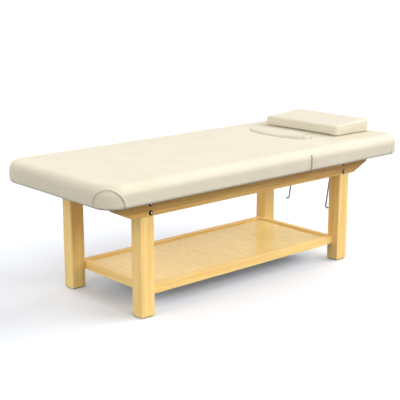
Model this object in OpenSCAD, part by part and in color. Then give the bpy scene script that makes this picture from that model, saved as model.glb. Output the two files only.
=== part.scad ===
// Stationary massage table: wooden base with a storage tray, padded top with a
// lifting head section held by a wire prop, a face plug and a loose pillow.
// X runs along the table with the head end at +X, and the floor is at Z zero.

/* [Padded top] */
// Length of the padded top
top_length = 1900; // [1750:10:2050]
// Width of the padded top
top_width = 812; // [720:2:880]
// Height of the top's upper edge above the floor
top_height = 640; // [580:5:740]
// Thickness of the padded top, board included
pad_thick = 100; // [92:1:120]
// Radius of the top's corners, seen from above
corner_r = 94; // [75:1:115]
// Radius of the rolled upper edge
roll_r = 48; // [34:1:56]
// Radius of the lower hem
hem_r = 16; // [8:1:20]
// Rise of the crown at the middle
crown_rise = 4; // [1:0.5:8]
// How far the sides draw in between the corners
side_draw = 3; // [0.5:0.5:6]
// Thickness of the plywood boards
board_thick = 18; // [15:1:22]
// Thickness of the cover and foam wrapped round the board's edge
skirt = 12; // [8:1:18]
// Height of the half-moon corner patch
patch_height = 86; // [70:1:90]
// Radius of the welt round the corner patch
welt_r = 4.5; // [3:0.5:6]
// How far the welt stands proud of the cover
welt_proud = 2; // [1:0.25:3]

/* [Lifting head section] */
// Length of the lifting head section
head_length = 704; // [670:2:740]
// Half width of the soft strip that folds over the hinges
fold_half = 30; // [27:1:36]
// Greatest tilt of the head section, in degrees
tilt_max = 35.5; // [24:0.5:36]
// Height of the slit in the side band
slit_height = 76; // [60:1:80]
// Width of the slit in the side band
slit_width = 4; // [2:0.5:6]
// Depth of the slit in the side band
slit_depth = 9; // [5:1:11]

/* [Face plug] */
// Length of the oval plug across the table
plug_length = 400; // [340:5:430]
// Width of the oval plug along the table
plug_width = 164; // [140:2:180]
// Distance from the fold to the middle of the plug
plug_from_fold = 206; // [190:2:230]
// How far the plug stands proud of the top
plug_proud = 8; // [4:1:14]
// Radius of the plug's upper edge
plug_edge_r = 10; // [6:1:14]
// Width of the board's ledge under the plug
plug_ledge = 22; // [16:1:28]
// Thickness of the plug's base board
plug_base_thick = 12; // [9:1:15]

/* [Pillow] */
// Length of the pillow across the table
pillow_length = 496; // [440:4:540]
// Width of the pillow along the table
pillow_width = 256; // [240:4:280]
// Thickness of the pillow at its edge
pillow_thick = 50; // [40:1:60]
// Distance from the head end to the middle of the pillow
pillow_from_end = 216; // [200:1:232]
// Radius of the pillow's corners, seen from above
pillow_corner_r = 22; // [14:1:30]
// Radius of the pillow's edges
pillow_edge_r = 9; // [6:1:14]

/* [Base frame] */
// Length over the outer faces of the legs
frame_length = 1354; // [1280:2:1420]
// Distance of the base's middle from the top's middle, towards the foot end
base_back = 22; // [0:1:30]
// Width over the outer faces of the legs
frame_width = 596; // [560:2:640]
// Width of a leg along the table
leg_x = 73; // [66:1:80]
// Width of a leg across the table
leg_y = 70; // [64:1:80]
// Height of the pads under the legs
pad_height = 5; // [3:0.5:8]
// Distance of a pad's edge from the leg's edge
pad_inset = 7; // [4:1:12]
// Thickness of the long top rails
rail_thick = 32; // [26:1:36]
// Height of the long top rails
rail_height = 85; // [78:1:95]
// Length of the rails past the legs
rail_past = 138; // [110:2:160]
// Length of the chamfer under a rail's end
rail_cut_length = 100; // [70:2:110]
// Height of the chamfer under a rail's end
rail_cut_height = 46; // [30:1:60]
// Small chamfer on the edges of legs and rails
edge_cut = 3; // [1:0.5:5]
// Thickness of the cross rails
cross_thick = 32; // [26:1:36]
// Height of the cross rails
cross_height = 40; // [36:1:44]
// Distance from the rails' lower edges to the cross rails' lower edges
cross_lift = 5; // [2:1:8]
// Distance from a leg's inner face to the end cross rails
cross_inset = 16; // [12:1:20]
// Distance from the fold to the middle cross rail
mid_cross_back = 14; // [10:1:30]

/* [Rail bolts] */
// Diameter of the bolts
bolt_d = 8; // [6:1:10]
// Diameter of the bolt heads
bolt_head_d = 17; // [14:0.5:18]
// Height of the bolt heads
bolt_head_h = 5; // [3:0.5:6]
// Diameter of the round recesses
recess_d = 22; // [20:0.5:26]
// Depth of the round recesses
recess_depth = 7; // [6.5:0.5:9]
// Height of the lower bolt above the rail's lower edge
bolt_low = 15; // [14:1:18]
// Distance between the two bolts of a joint
bolt_pitch = 40; // [34:1:46]
// Distance of the foot bolts from the middle of the leg
bolt_in_foot = 19; // [0:1:20]
// Distance of the head bolts from the middle of the leg
bolt_in_head = 6; // [0:1:16]
// Outer diameter of the insert nuts
insert_d = 12; // [11:0.5:14]
// Length of the insert nuts
insert_length = 18; // [14:1:19]

/* [Storage tray] */
// Height of the tray's upper edge above the floor
tray_top = 131; // [120:1:160]
// Height of the tray's rails
tray_rail_h = 43; // [40:1:50]
// Thickness of the tray's rails
tray_rail_t = 25; // [22:1:30]
// Depth of the tray above its panel
tray_depth = 10; // [8:1:12]
// Thickness of the tray's panel
panel_thick = 15; // [12:1:16]
// Depth of the groove that holds the panel
groove_depth = 8; // [6:1:9]
// Step between the panel's face and its tongue in the groove
tongue_step = 3; // [2:0.5:4]
// Width of the battens under the panel
batten_width = 44; // [30:2:60]
// Height of the battens under the panel
batten_height = 16; // [12:1:17]
// Distance of a batten from the middle of the table
batten_x = 220; // [160:10:320]

/* [Dowels] */
// Diameter of the dowels
dowel_d = 8; // [6:1:9]
// Depth of a dowel in each of its two pieces
dowel_depth = 16; // [12:1:17]
// Depth of the dowels in the side of a tray rail
dowel_shallow = 12; // [9:1:13]

/* [Hinges] */
// Length of a hinge
hinge_length = 90; // [70:5:110]
// Width of a hinge leaf from the axis
leaf_width = 32; // [28:1:40]
// Thickness of a hinge leaf
leaf_thick = 2; // [1.5:0.25:2.5]
// Outer radius of the knuckles
knuckle_r = 4; // [3.5:0.25:5]
// Diameter of the hinge pins
hinge_pin_d = 4; // [3:0.5:5]
// Distance of the outer hinges from the middle
hinge_spread = 255; // [200:5:280]

/* [Prop] */
// Diameter of the prop's wire
wire_d = 8; // [7:0.5:9]
// Distance between the two rods of the prop
prop_span = 266; // [230:2:300]
// Length of a foot, from the rod's middle
prop_foot = 20; // [18:1:24]
// Radius of the bends in the wire
bend_r = 10; // [9:0.5:11]
// Distance of the prop's axle past the head cross rail
prop_past_cross = 93; // [84:1:104]
// Lean of the hanging prop towards the foot end, in degrees
hang_lean = 10; // [6:0.5:14]
// Lean of the prop in the highest notch, in degrees
seat_lean = 12.4; // [11:0.1:14]
// Width of a saddle clip
clip_width = 16; // [12:1:20]
// Thickness of a saddle clip
clip_thick = 1.5; // [1:0.25:2]
// Distance of a clip's middle from its rod
clip_in = 44; // [30:1:60]

/* [Racks] */
// Thickness of a notched rack
rack_thick = 18; // [14:1:20]
// Height of a notched rack
rack_height = 28; // [26:1:30]
// Distance between two notches
notch_pitch = 40; // [34:1:46]
// Number of notches
notch_count = 4; // [2:1:5]
// Height of the tongue at the rack's head end
tongue_height = 11; // [9:0.5:11.5]
// Clearance between a rack and the prop's rod
rack_gap = 2; // [1.5:0.25:3]

/* [Small screws] */
// Diameter of the screws' shanks
screw_d = 3.5; // [3:0.25:4]
// Diameter of the screws' heads
screw_head_d = 7; // [6:0.25:8]
// Length of the short screws
screw_length = 14; // [12:0.5:14]
// Diameter of the rack screws' shanks
rack_screw_d = 4; // [3.5:0.25:5]
// Diameter of the rack screws' heads
rack_screw_head_d = 8; // [7:0.5:10]
// Length of the rack screws
rack_screw_length = 34; // [28:1:36]
// Length of an angle bracket's arms
bracket_arm = 25; // [20:1:30]
// Width of an angle bracket
bracket_width = 30; // [22:1:36]
// Thickness of an angle bracket
bracket_thick = 2; // [1.5:0.25:3]

/* [Hidden] */

// Roundness of true circles
fine = 48;
// Overrun of every cut
over = 1;
// Gap beside a soft piece on another body
soft_gap = 0.3;
// Gap round a glued or driven piece
snug = 0.1;
// Radial clearance of a hinge pin
pin_play = 0.05;
// Clearance between moving knuckles and boards
knuckle_play = 0.5;
// Gap between the two boards at the fold
board_gap = 2;
// Clearance of the wire in its clips and notches
wire_play = 0.3;
// Clearance under a foot in its notch
seat_play = 1.2;
// Gap between the prop's axle and the head board
axle_gap = 1;
// Clearance round the head of a rack screw in its counterbore
driver_play = 1;
// Clearance of the plug in its hole
plug_play = 0.6;
// Knuckles in one hinge
knuckle_count = 5;

// Heights
deck_z = top_height - pad_thick;
hinge_z = deck_z + board_thick;
rail_z = deck_z - rail_height;
cross_z = rail_z + cross_lift;
cross_top = cross_z + cross_height;
bolt_z = [rail_z + bolt_low, rail_z + bolt_low + bolt_pitch];
tray_z = tray_top - tray_rail_h;
panel_top = tray_top - tray_depth;
panel_z = panel_top - panel_thick;

// Places along the table
fold_x = top_length / 2 - head_length;
leg_mid_x = (frame_length - leg_x) / 2;
leg_in_x = frame_length / 2 - leg_x;
cross_in_x = leg_in_x + cross_inset;
foot_cross_x = -base_back - cross_in_x - cross_thick;
mid_cross_x = fold_x - mid_cross_back - cross_thick;
head_cross_x = -base_back + cross_in_x;
plug_x = fold_x + plug_from_fold;
pillow_x = top_length / 2 - pillow_from_end;
tray_in_x = leg_in_x - tray_rail_t;

// Places across the table
lap_y = frame_width / 2 - rail_thick;
leg_in_y = frame_width / 2 - leg_y;
tray_in_y = lap_y - tray_rail_t;
rod_y = prop_span / 2;
rack_y = rod_y + wire_d / 2 + rack_gap;
clip_y = rod_y - clip_in;

// Prop: its axle at rest and at full tilt, and the notch that then takes its feet
axle_x = head_cross_x + cross_thick + prop_past_cross;
axle_z = deck_z - axle_gap - wire_d / 2;
arm_x = axle_x - fold_x;
arm_z = axle_z - hinge_z;
raised_x = fold_x + arm_x * cos(tilt_max) - arm_z * sin(tilt_max);
raised_z = hinge_z + arm_x * sin(tilt_max) + arm_z * cos(tilt_max);
rack_top = cross_top + rack_height;
notch_z = rack_top - wire_d / 2;
prop_length = (raised_z - notch_z) / cos(seat_lean);
notch_x = raised_x - prop_length * sin(seat_lean);

// Colours
wood = [0.93, 0.75, 0.47];
ply = [0.90, 0.74, 0.50];
cream = [0.95, 0.92, 0.82];
cream_shade = [0.90, 0.86, 0.75];
steel = [0.68, 0.69, 0.70];
bronze = [0.33, 0.24, 0.17];
rubber = [0.16, 0.15, 0.14];

// Points of a soft form's rings: corner steps, side steps and oval steps
corner_steps = 8;
side_steps = 6;
oval_steps = 48;

// Cross-section shapes

// Rectangle about the origin with chamfered corners
module cut_rect(w, h, c) {
    polygon([
        [-w / 2 + c, -h / 2], [w / 2 - c, -h / 2], [w / 2, -h / 2 + c], [w / 2, h / 2 - c],
        [w / 2 - c, h / 2], [-w / 2 + c, h / 2], [-w / 2, h / 2 - c], [-w / 2, -h / 2 + c]
    ]);
}

// Rectangle about the origin with round corners
module round_rect(w, h, r) {
    square([w - 2 * r, h], center = true);
    square([w, h - 2 * r], center = true);
    for (x = [-1, 1], y = [-1, 1])
        translate([x * (w / 2 - r), y * (h / 2 - r)]) circle(r = r, $fn = fine * 2);
}

// Oval with half lengths a along X and b along Y
function oval(a, b) = [
    for (i = [0 : oval_steps - 1]) [a * cos(360 * i / oval_steps), b * sin(360 * i / oval_steps)]
];

// Boards' outline, grown by a gap
module board_shape(grow) {
    round_rect(top_length - 2 * (skirt - grow), top_width - 2 * (skirt - grow),
        corner_r - skirt + grow);
}

// Bar along Y between two heights
module bar_y(x, w, y_half, z, h) {
    translate([x, -y_half, z]) cube([w, 2 * y_half, h]);
}

// Soft forms, lofted through rings of equal count

// One ring of a rounded rectangle at inset d, its sides drawn in between the corners
function soft_ring(l, w, r, d, z, draw) =
    let (rc = max(r - d, r / 6), hx = l / 2 - d - rc, hy = w / 2 - d - rc)
    [
        for (s = [0 : 3])
            let (
                sx = (s == 0 || s == 3) ? 1 : -1,
                sy = s < 2 ? 1 : -1,
                tx = (s == 0 || s == 1) ? -1 : 1,
                c = [sx * hx, sy * hy],
                e = (s % 2 == 0) ? [-sx * hx, sy * hy] : [sx * hx, -sy * hy],
                n = [cos(90 * s + 90), sin(90 * s + 90)]
            )
            each concat(
                [
                    for (i = [0 : corner_steps])
                        let (a = 90 * s + 90 * i / corner_steps)
                        [c[0] + rc * cos(a), c[1] + rc * sin(a), z]
                ],
                [
                    for (j = [1 : side_steps - 1])
                        let (t = j / side_steps, p = c + (e - c) * t + n * (rc - draw * sin(180 * t)))
                        [p[0], p[1], z]
                ]
            )
    ];

// Solid through a list of rings, closed by a fan at each end
module loft(rings) {
    n = len(rings[0]);
    m = len(rings);
    low = [0, 0, rings[0][0][2]];
    high = [0, 0, rings[m - 1][0][2]];
    points = concat([for (r = rings) each r], [low, high]);
    polyhedron(points, concat(
        [for (i = [0 : n - 1]) [m * n, i, (i + 1) % n]],
        [
            for (k = [0 : m - 2], i = [0 : n - 1])
                each [
                    [k * n + i, (k + 1) * n + i, k * n + (i + 1) % n],
                    [k * n + (i + 1) % n, (k + 1) * n + i, (k + 1) * n + (i + 1) % n]
                ]
        ],
        [for (i = [0 : n - 1]) [m * n + 1, (m - 1) * n + (i + 1) % n, (m - 1) * n + i]]
    ));
}

// Inset and height of the padded top's profile, from the hem to the crown
hem_steps = 3;
roll_steps = 6;
crown_inset_shares = [0.04, 0.1, 0.2];
crown_rise_shares = [0.5, 0.82, 1];
top_profile = concat(
    [
        for (i = [0 : hem_steps])
            let (a = 90 - 90 * i / hem_steps)
            [hem_r * (1 - cos(a)), deck_z + hem_r * (1 - sin(a))]
    ],
    [
        for (i = [0 : roll_steps])
            let (a = 90 * i / roll_steps)
            [roll_r * (1 - cos(a)), top_height - roll_r * (1 - sin(a))]
    ],
    [
        for (i = [0 : len(crown_inset_shares) - 1])
            [
                roll_r + top_width * crown_inset_shares[i],
                top_height + crown_rise * crown_rise_shares[i]
            ]
    ]
);

// The whole padded top as one form
module top_form() {
    loft([
        for (p = top_profile)
            soft_ring(top_length, top_width, corner_r, p[0], p[1], side_draw)
    ]);
}

// The part of the padded top between two places along the table, hollow for its board
module top_slice(x0, x1) {
    difference() {
        intersection() {
            top_form();
            translate([x0, -top_width / 2 - over, deck_z - over])
                cube([x1 - x0, top_width + 2 * over, pad_thick + crown_rise + 2 * over]);
        }
        translate([0, 0, deck_z - over])
            linear_extrude(board_thick + over) board_shape(soft_gap);
    }
}

// Welt of a corner patch: a half-moon on the rounded corner

// Point of the half-moon, from one foot at zero to the other at 180 degrees, sunk along
// the cover's own normal so that the tube stands proud by the same amount all along
function welt_point(u) =
    let (
        z = deck_z + hem_r / 2 + (patch_height - hem_r / 2) * sin(u),
        a = 45 - 45 * cos(u),
        rise = max(z - (top_height - roll_r), 0) / roll_r,
        out = sqrt(1 - rise * rise),
        sink = welt_r - welt_proud,
        rr = corner_r - roll_r + (roll_r - sink) * out
    )
    [rr * cos(a), rr * sin(a), z - sink * rise];

welt_steps = 18;
welt_sides = 6;
// Angle round the half-moon from its foot to the end of the tube
welt_from = 6;

function unit(v) = v / norm(v);

// Ring of the welt's tube at a point of the half-moon
function welt_ring(u) =
    let (
        p = welt_point(u),
        t = unit(welt_point(u + 1) - welt_point(u - 1)),
        b = unit(cross(t, [p[0], p[1], 0])),
        n = cross(b, t)
    )
    [
        for (i = [0 : welt_sides - 1])
            p + welt_r * (n * cos(360 * i / welt_sides) + b * sin(360 * i / welt_sides))
    ];

// Tube of the welt about the corner's own centre
module welt() {
    n = welt_sides;
    sweep = 180 - 2 * welt_from;
    rings = [for (i = [0 : welt_steps]) welt_ring(welt_from + sweep * i / welt_steps)];
    polyhedron([for (r = rings) each r], concat(
        [for (i = [1 : n - 2]) [0, i, i + 1]],
        [
            for (k = [0 : welt_steps - 1], i = [0 : n - 1])
                each [
                    [k * n + i, (k + 1) * n + i, k * n + (i + 1) % n],
                    [k * n + (i + 1) % n, (k + 1) * n + i, (k + 1) * n + (i + 1) % n]
                ]
        ],
        [for (i = [1 : n - 2]) [welt_steps * n, welt_steps * n + i + 1, welt_steps * n + i]]
    ));
}

// The two welts at one end of the top: end is 1 at the head and -1 at the foot
module welt_pair(end) {
    for (side = [-1, 1])
        translate([end * (top_length / 2 - corner_r), side * (top_width / 2 - corner_r), 0])
            mirror([end < 0 ? 1 : 0, 0, 0])
                mirror([0, side < 0 ? 1 : 0, 0])
                    welt();
}

// Base frame

// End is 1 at the head and -1 at the foot, side is 1 at the far rail and -1 at the near one
function leg_at(end) = end * leg_mid_x - base_back;
function bolt_x(end) = leg_at(end) - end * (end > 0 ? bolt_in_head : bolt_in_foot);

// Screw along +Z with its head's top at zero: a countersunk cone and a shank
module screw_shape(d, head_d, length, gap = 0) {
    cone_h = (head_d - d) / 2;
    translate([0, 0, -cone_h - gap]) cylinder(d1 = d + 2 * gap, d2 = head_d + 2 * gap,
        h = cone_h + gap, $fn = fine);
    translate([0, 0, -length - gap]) cylinder(d = d + 2 * gap, h = length + gap, $fn = fine);
}

// Dowel along +X from zero, or the hole for it
module dowel_shape(depth_a, depth_b, gap) {
    translate([-depth_a - gap, 0, 0]) rotate([0, 90, 0])
        cylinder(d = dowel_d + 2 * gap, h = depth_a + depth_b + 2 * gap, $fn = fine);
}

// Places of a cross rail's dowels: the rail's own X, then the half length it ends at
cross_dowel_shares = [0.28, 0.72];

module cross_dowels(x, y_end, gap) {
    for (side = [-1, 1], s = cross_dowel_shares)
        translate([x + cross_thick / 2, side * y_end, cross_z + cross_height * s])
            rotate([0, 0, 90]) dowel_shape(dowel_depth, dowel_depth, gap);
}

module frame_dowel_set(gap) {
    cross_dowels(foot_cross_x, leg_in_y, gap);
    cross_dowels(mid_cross_x, lap_y, gap);
    cross_dowels(head_cross_x, leg_in_y, gap);
}

// Places of the dowels in the tray's joints, up the height of its rails
tray_end_shares = [0.2, 0.85];
tray_leg_shares = [0.42, 0.66];
// The dowels run in the wood outside the panel's groove
tray_dowel_in = (tray_rail_t - groove_depth) / 2;

module tray_dowel_set(gap) {
    translate([-base_back, 0, 0]) for (end = [-1, 1], side = [-1, 1]) {
        for (s = tray_leg_shares)
            translate([end * leg_in_x, side * (lap_y - tray_dowel_in), tray_z + tray_rail_h * s])
                dowel_shape(dowel_depth, dowel_depth, gap);
        for (s = tray_end_shares)
            translate([
                end * (leg_in_x - tray_dowel_in), side * tray_in_y, tray_z + tray_rail_h * s
            ])
                rotate([0, 0, side * 90]) dowel_shape(dowel_depth, dowel_shallow, gap);
    }
}

// Bolt with a socket head, along +Y from the rail's outer face
socket_share = 0.5;
socket_depth_share = 0.6;

module bolt() {
    shank = rail_thick - recess_depth + insert_length - over;
    difference() {
        union() {
            translate([0, recess_depth, 0]) rotate([90, 0, 0])
                cylinder(d = bolt_head_d, h = bolt_head_h, $fn = fine);
            translate([0, recess_depth + shank, 0]) rotate([90, 0, 0])
                cylinder(d = bolt_d, h = shank, $fn = fine);
        }
        translate([0, recess_depth - bolt_head_h * (1 - socket_depth_share), 0])
            rotate([90, 0, 0])
                cylinder(d = bolt_head_d * socket_share, h = bolt_head_h, $fn = 6);
    }
}

module at_bolts() {
    for (end = [-1, 1], side = [-1, 1], z = bolt_z)
        translate([bolt_x(end), side * frame_width / 2, z])
            mirror([0, side > 0 ? 1 : 0, 0])
                children();
}

module leg(end, side) {
    height = deck_z - pad_height;
    color(wood) difference() {
        translate([leg_at(end), side * (frame_width - leg_y) / 2, pad_height])
            linear_extrude(height) cut_rect(leg_x, leg_y, edge_cut);
        translate([leg_at(end) - leg_x, side > 0 ? lap_y : -frame_width / 2 - over, rail_z])
            cube([2 * leg_x, rail_thick + over, rail_height + over]);
        at_bolts() translate([0, rail_thick + insert_length, 0]) rotate([90, 0, 0])
            cylinder(d = insert_d + 2 * snug, h = insert_length + over, $fn = fine);
        frame_dowel_set(snug);
        tray_dowel_set(snug);
    }
}

module foot_pads() {
    color(rubber)
    for (end = [-1, 1], side = [-1, 1])
        translate([leg_at(end), side * (frame_width - leg_y) / 2, 0])
            linear_extrude(pad_height)
                round_rect(leg_x - 2 * pad_inset, leg_y - 2 * pad_inset, pad_inset);
}

// Long top rail: side is 1 at the far rail and -1 at the near one
module top_rail(side) {
    half = frame_length / 2 + rail_past;
    top = rail_height;
    outline = [
        [-half, rail_cut_height], [-half + rail_cut_length, 0],
        [half - rail_cut_length, 0], [half, rail_cut_height],
        [half, top], [-half, top]
    ];
    color(wood) difference() {
        translate([-base_back, side > 0 ? frame_width / 2 : -lap_y, rail_z]) rotate([90, 0, 0])
            linear_extrude(rail_thick) polygon(outline);
        at_bolts() {
            translate([0, recess_depth, 0]) rotate([90, 0, 0])
                cylinder(d = recess_d, h = recess_depth + over, $fn = fine);
            translate([0, rail_thick + over, 0]) rotate([90, 0, 0])
                cylinder(d = bolt_d + 2 * snug, h = rail_thick + over, $fn = fine);
        }
        frame_dowel_set(snug);
        bracket_screw_set(snug);
    }
}

module cross_rail(x, y_end) {
    color(wood) difference() {
        bar_y(x, cross_thick, y_end, cross_z, cross_height);
        frame_dowel_set(snug);
        rack_screw_set(snug);
    }
}

module frame_dowels() {
    color(wood) frame_dowel_set(0);
}

module rail_bolts() {
    color(bronze) at_bolts() bolt();
}

module insert_nuts() {
    color(steel) at_bolts() translate([0, rail_thick + insert_length, 0]) rotate([90, 0, 0])
        difference() {
            cylinder(d = insert_d, h = insert_length, $fn = fine);
            translate([0, 0, -over])
                cylinder(d = bolt_d + 2 * snug, h = insert_length + 2 * over, $fn = fine);
        }
}

// Storage tray

// Flat block about the middle of the tray, out past the inner faces of its rails
module tray_block(out, z, h) {
    translate([-base_back - tray_in_x - out, -tray_in_y - out, z])
        cube([2 * (tray_in_x + out), 2 * (tray_in_y + out), h]);
}

module panel_space(gap) {
    tray_block(groove_depth, panel_z - gap, panel_thick - tongue_step + 2 * gap);
}

module tray_rail_long(side) {
    color(wood) difference() {
        translate([-base_back - leg_in_x, side > 0 ? tray_in_y : -lap_y, tray_z])
            cube([2 * leg_in_x, tray_rail_t, tray_rail_h]);
        panel_space(snug);
        tray_dowel_set(snug);
    }
}

module tray_rail_short(end) {
    color(wood) difference() {
        bar_y((end > 0 ? tray_in_x : -leg_in_x) - base_back, tray_rail_t, tray_in_y, tray_z,
            tray_rail_h);
        panel_space(snug);
        tray_dowel_set(snug);
    }
}

module tray_panel() {
    color(ply) union() {
        tray_block(groove_depth - snug, panel_z, panel_thick - tongue_step);
        tray_block(-snug, panel_z, panel_thick);
    }
}

module tray_batten(end) {
    color(wood)
    bar_y(end * batten_x - batten_width / 2 - base_back, batten_width, tray_in_y,
        panel_z - batten_height, batten_height);
}

module tray_dowels() {
    color(wood) tray_dowel_set(0);
}

// Boards and cushions of the padded top

// Relief for the knuckles along the boards' upper edges, and the leaves' pockets
module hinge_space() {
    at_hinges() {
        rotate([90, 0, 0])
            cylinder(r = knuckle_r + knuckle_play, h = hinge_length + 2 * knuckle_play,
                center = true, $fn = fine);
        translate([-leaf_width - snug, -hinge_length / 2 - snug, -leaf_thick])
            cube([2 * (leaf_width + snug), hinge_length + 2 * snug, leaf_thick + over]);
    }
}

module at_hinges() {
    for (k = [-1, 0, 1]) translate([fold_x, k * hinge_spread, hinge_z]) children();
}

// Places of the screws in a leaf, along its length
leaf_screw_shares = [-0.36, 0.36];

module leaf_screw_set(dir, gap) {
    at_hinges()
    for (s = leaf_screw_shares)
        translate([dir * (leaf_width + knuckle_r) / 2, s * hinge_length, 0])
            screw_shape(screw_d, screw_head_d, screw_length, gap);
}

module main_board() {
    color(ply) difference() {
        translate([0, 0, deck_z]) linear_extrude(board_thick) intersection() {
            board_shape(0);
            translate([-top_length / 2, -top_width / 2])
                square([fold_x - board_gap / 2 + top_length / 2, top_width]);
        }
        hinge_space();
        leaf_screw_set(-1, snug);
        bracket_screw_set(snug);
    }
}

module head_board() {
    color(ply) difference() {
        translate([0, 0, deck_z]) linear_extrude(board_thick) intersection() {
            board_shape(0);
            translate([fold_x + board_gap / 2, -top_width / 2])
                square([head_length, top_width]);
        }
        translate([plug_x, 0, deck_z - over]) linear_extrude(board_thick + 2 * over)
            polygon(oval(plug_width / 2 - plug_ledge, plug_length / 2 - plug_ledge));
        hinge_space();
        leaf_screw_set(1, snug);
        clip_screw_set(snug);
    }
}

module main_cushion() {
    color(cream) union() {
        top_slice(-top_length / 2 - over, fold_x - fold_half);
        welt_pair(-1);
    }
}

// Soft strip over the hinges, with a slit in the side band at each end
module fold_cushion() {
    color(cream) difference() {
        top_slice(fold_x - fold_half, fold_x + fold_half);
        at_hinges() rotate([90, 0, 0])
            cylinder(r = knuckle_r + 2 * knuckle_play, h = hinge_length + 2 * over,
                center = true, $fn = fine);
        for (side = [-1, 1])
            translate([
                fold_x - slit_width / 2,
                side > 0 ? top_width / 2 - slit_depth : -top_width / 2 - over,
                deck_z - over
            ])
                cube([slit_width, slit_depth + over, slit_height + over]);
    }
}

module head_cushion() {
    color(cream) difference() {
        union() {
            top_slice(fold_x + fold_half, top_length / 2 + over);
            welt_pair(1);
        }
        translate([plug_x, 0, hinge_z - over])
            linear_extrude(pad_thick + crown_rise + over)
                polygon(oval(plug_width / 2 + plug_play, plug_length / 2 + plug_play));
    }
}

// Places of the angle brackets, from the foot legs to the fold
bracket_shares = [0.15, 0.52, 0.88];

module at_brackets() {
    from = -base_back - leg_in_x;
    for (side = [-1, 1], s = bracket_shares)
        translate([from + s * (fold_x - from), side * lap_y, deck_z])
            mirror([0, side < 0 ? 1 : 0, 0])
                children();
}

module bracket_screw_set(gap) {
    at_brackets() {
        translate([0, -bracket_arm / 2 - bracket_thick / 2, -bracket_thick])
            rotate([180, 0, 0]) screw_shape(screw_d, screw_head_d, screw_length, gap);
        translate([0, -bracket_thick, -bracket_arm / 2 - bracket_thick / 2])
            rotate([90, 0, 0]) screw_shape(screw_d, screw_head_d, screw_length, gap);
    }
}

module top_brackets() {
    color(steel) difference() {
        at_brackets() {
            translate([-bracket_width / 2, -bracket_arm, -bracket_thick])
                cube([bracket_width, bracket_arm, bracket_thick]);
            translate([-bracket_width / 2, -bracket_thick, -bracket_arm])
                cube([bracket_width, bracket_thick, bracket_arm]);
        }
        bracket_screw_set(snug);
    }
}

module bracket_screws() {
    color(steel) bracket_screw_set(0);
}

// Hinges

// One leaf: dir is -1 on the main board and 1 on the head board, first is its first knuckle
module leaf(dir, first) {
    step = hinge_length / knuckle_count;
    difference() {
        union() {
            translate([
                dir > 0 ? knuckle_r + knuckle_play : -leaf_width, -hinge_length / 2, -leaf_thick
            ])
                cube([leaf_width - knuckle_r - knuckle_play, hinge_length, leaf_thick]);
            for (k = [first : 2 : knuckle_count - 1])
                translate([0, -hinge_length / 2 + k * step + soft_gap / 2, 0]) {
                    rotate([-90, 0, 0])
                        cylinder(r = knuckle_r, h = step - soft_gap, $fn = fine);
                    translate([dir > 0 ? 0 : -knuckle_r - over, 0, -leaf_thick])
                        cube([knuckle_r + over, step - soft_gap, leaf_thick]);
                }
        }
        rotate([90, 0, 0])
            cylinder(d = hinge_pin_d + 2 * pin_play, h = hinge_length + 2 * over,
                center = true, $fn = fine);
    }
}

module hinge_leaves_fixed() {
    color(steel) difference() {
        at_hinges() leaf(-1, 0);
        leaf_screw_set(-1, snug);
    }
}

module hinge_leaves_moving() {
    color(steel) difference() {
        at_hinges() leaf(1, 1);
        leaf_screw_set(1, snug);
    }
}

module hinge_pins() {
    color(steel) at_hinges() rotate([90, 0, 0])
        cylinder(d = hinge_pin_d, h = hinge_length, center = true, $fn = fine);
}

module leaf_screws_fixed() {
    color(steel) leaf_screw_set(-1, 0);
}

module leaf_screws_moving() {
    color(steel) leaf_screw_set(1, 0);
}

// Notched racks

rack_x = mid_cross_x;
rack_end_x = head_cross_x + cross_thick;
notch_half = wire_d / 2 + wire_play;
seat_z = notch_z - wire_d / 2 - seat_play;
tongue_z = cross_top + tongue_height;

// Outline of a rack in X and Z: a row of ratchet notches and a low tongue at the head end
function rack_outline() = concat(
    [
        [rack_x, cross_top], [rack_end_x, cross_top], [rack_end_x, tongue_z],
        [notch_x + 2 * notch_half, tongue_z], [notch_x + notch_half, seat_z]
    ],
    [
        for (k = [0 : notch_count - 1])
            let (x = notch_x - k * notch_pitch, slope = rack_top - seat_z)
            each k == 0
                ? [[x - notch_half, seat_z], [x - notch_half, rack_top]]
                : [
                    [x + notch_half + slope, rack_top], [x + notch_half, seat_z],
                    [x - notch_half, seat_z], [x - notch_half, rack_top]
                ]
    ],
    [[rack_x, rack_top]]
);

module rack(side) {
    color(wood) difference() {
        translate([0, side > 0 ? rack_y + rack_thick : -rack_y, 0]) rotate([90, 0, 0])
            linear_extrude(rack_thick) polygon(rack_outline());
        rack_screw_set(snug);
        for (s = [-1, 1])
            translate([
                rack_x + cross_thick / 2, s * (rack_y + rack_thick / 2), tongue_z
            ])
                cylinder(d = rack_screw_head_d + 2 * driver_play, h = rack_height, $fn = fine);
    }
}

module rack_screw_set(gap) {
    for (side = [-1, 1], x = [rack_x + cross_thick / 2, rack_end_x - cross_thick / 2])
        translate([x, side * (rack_y + rack_thick / 2), tongue_z])
            screw_shape(rack_screw_d, rack_screw_head_d, rack_screw_length, gap);
}

module rack_screws() {
    color(steel) rack_screw_set(0);
}

// Prop wire and its clips

module rod(from, to) {
    d = to - from;
    length = norm(d);
    translate(from)
        rotate([0, acos(d[2] / length), atan2(d[1], d[0])])
            cylinder(d = wire_d, h = length, $fn = fine);
}

// Quarter bend that starts upwards from the origin and turns towards +X
module bend() {
    translate([bend_r, 0, 0]) rotate([90, 0, 0]) rotate([0, 0, 90])
        rotate_extrude(angle = 90, $fn = fine) translate([bend_r, 0])
            circle(d = wire_d, $fn = fine);
}

// Half of the hanging wire about its axle, on the far side, before it leans
module prop_half() {
    rod([0, 0, 0], [0, rod_y - bend_r, 0]);
    translate([0, rod_y, -bend_r]) rotate([0, 0, -90]) bend();
    rod([0, rod_y, -prop_length + bend_r], [0, rod_y, -bend_r]);
    translate([0, rod_y, -prop_length + bend_r]) rotate([0, 0, 90]) mirror([0, 0, 1]) bend();
    rod([0, rod_y + bend_r, -prop_length], [0, rod_y + prop_foot, -prop_length]);
}

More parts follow.
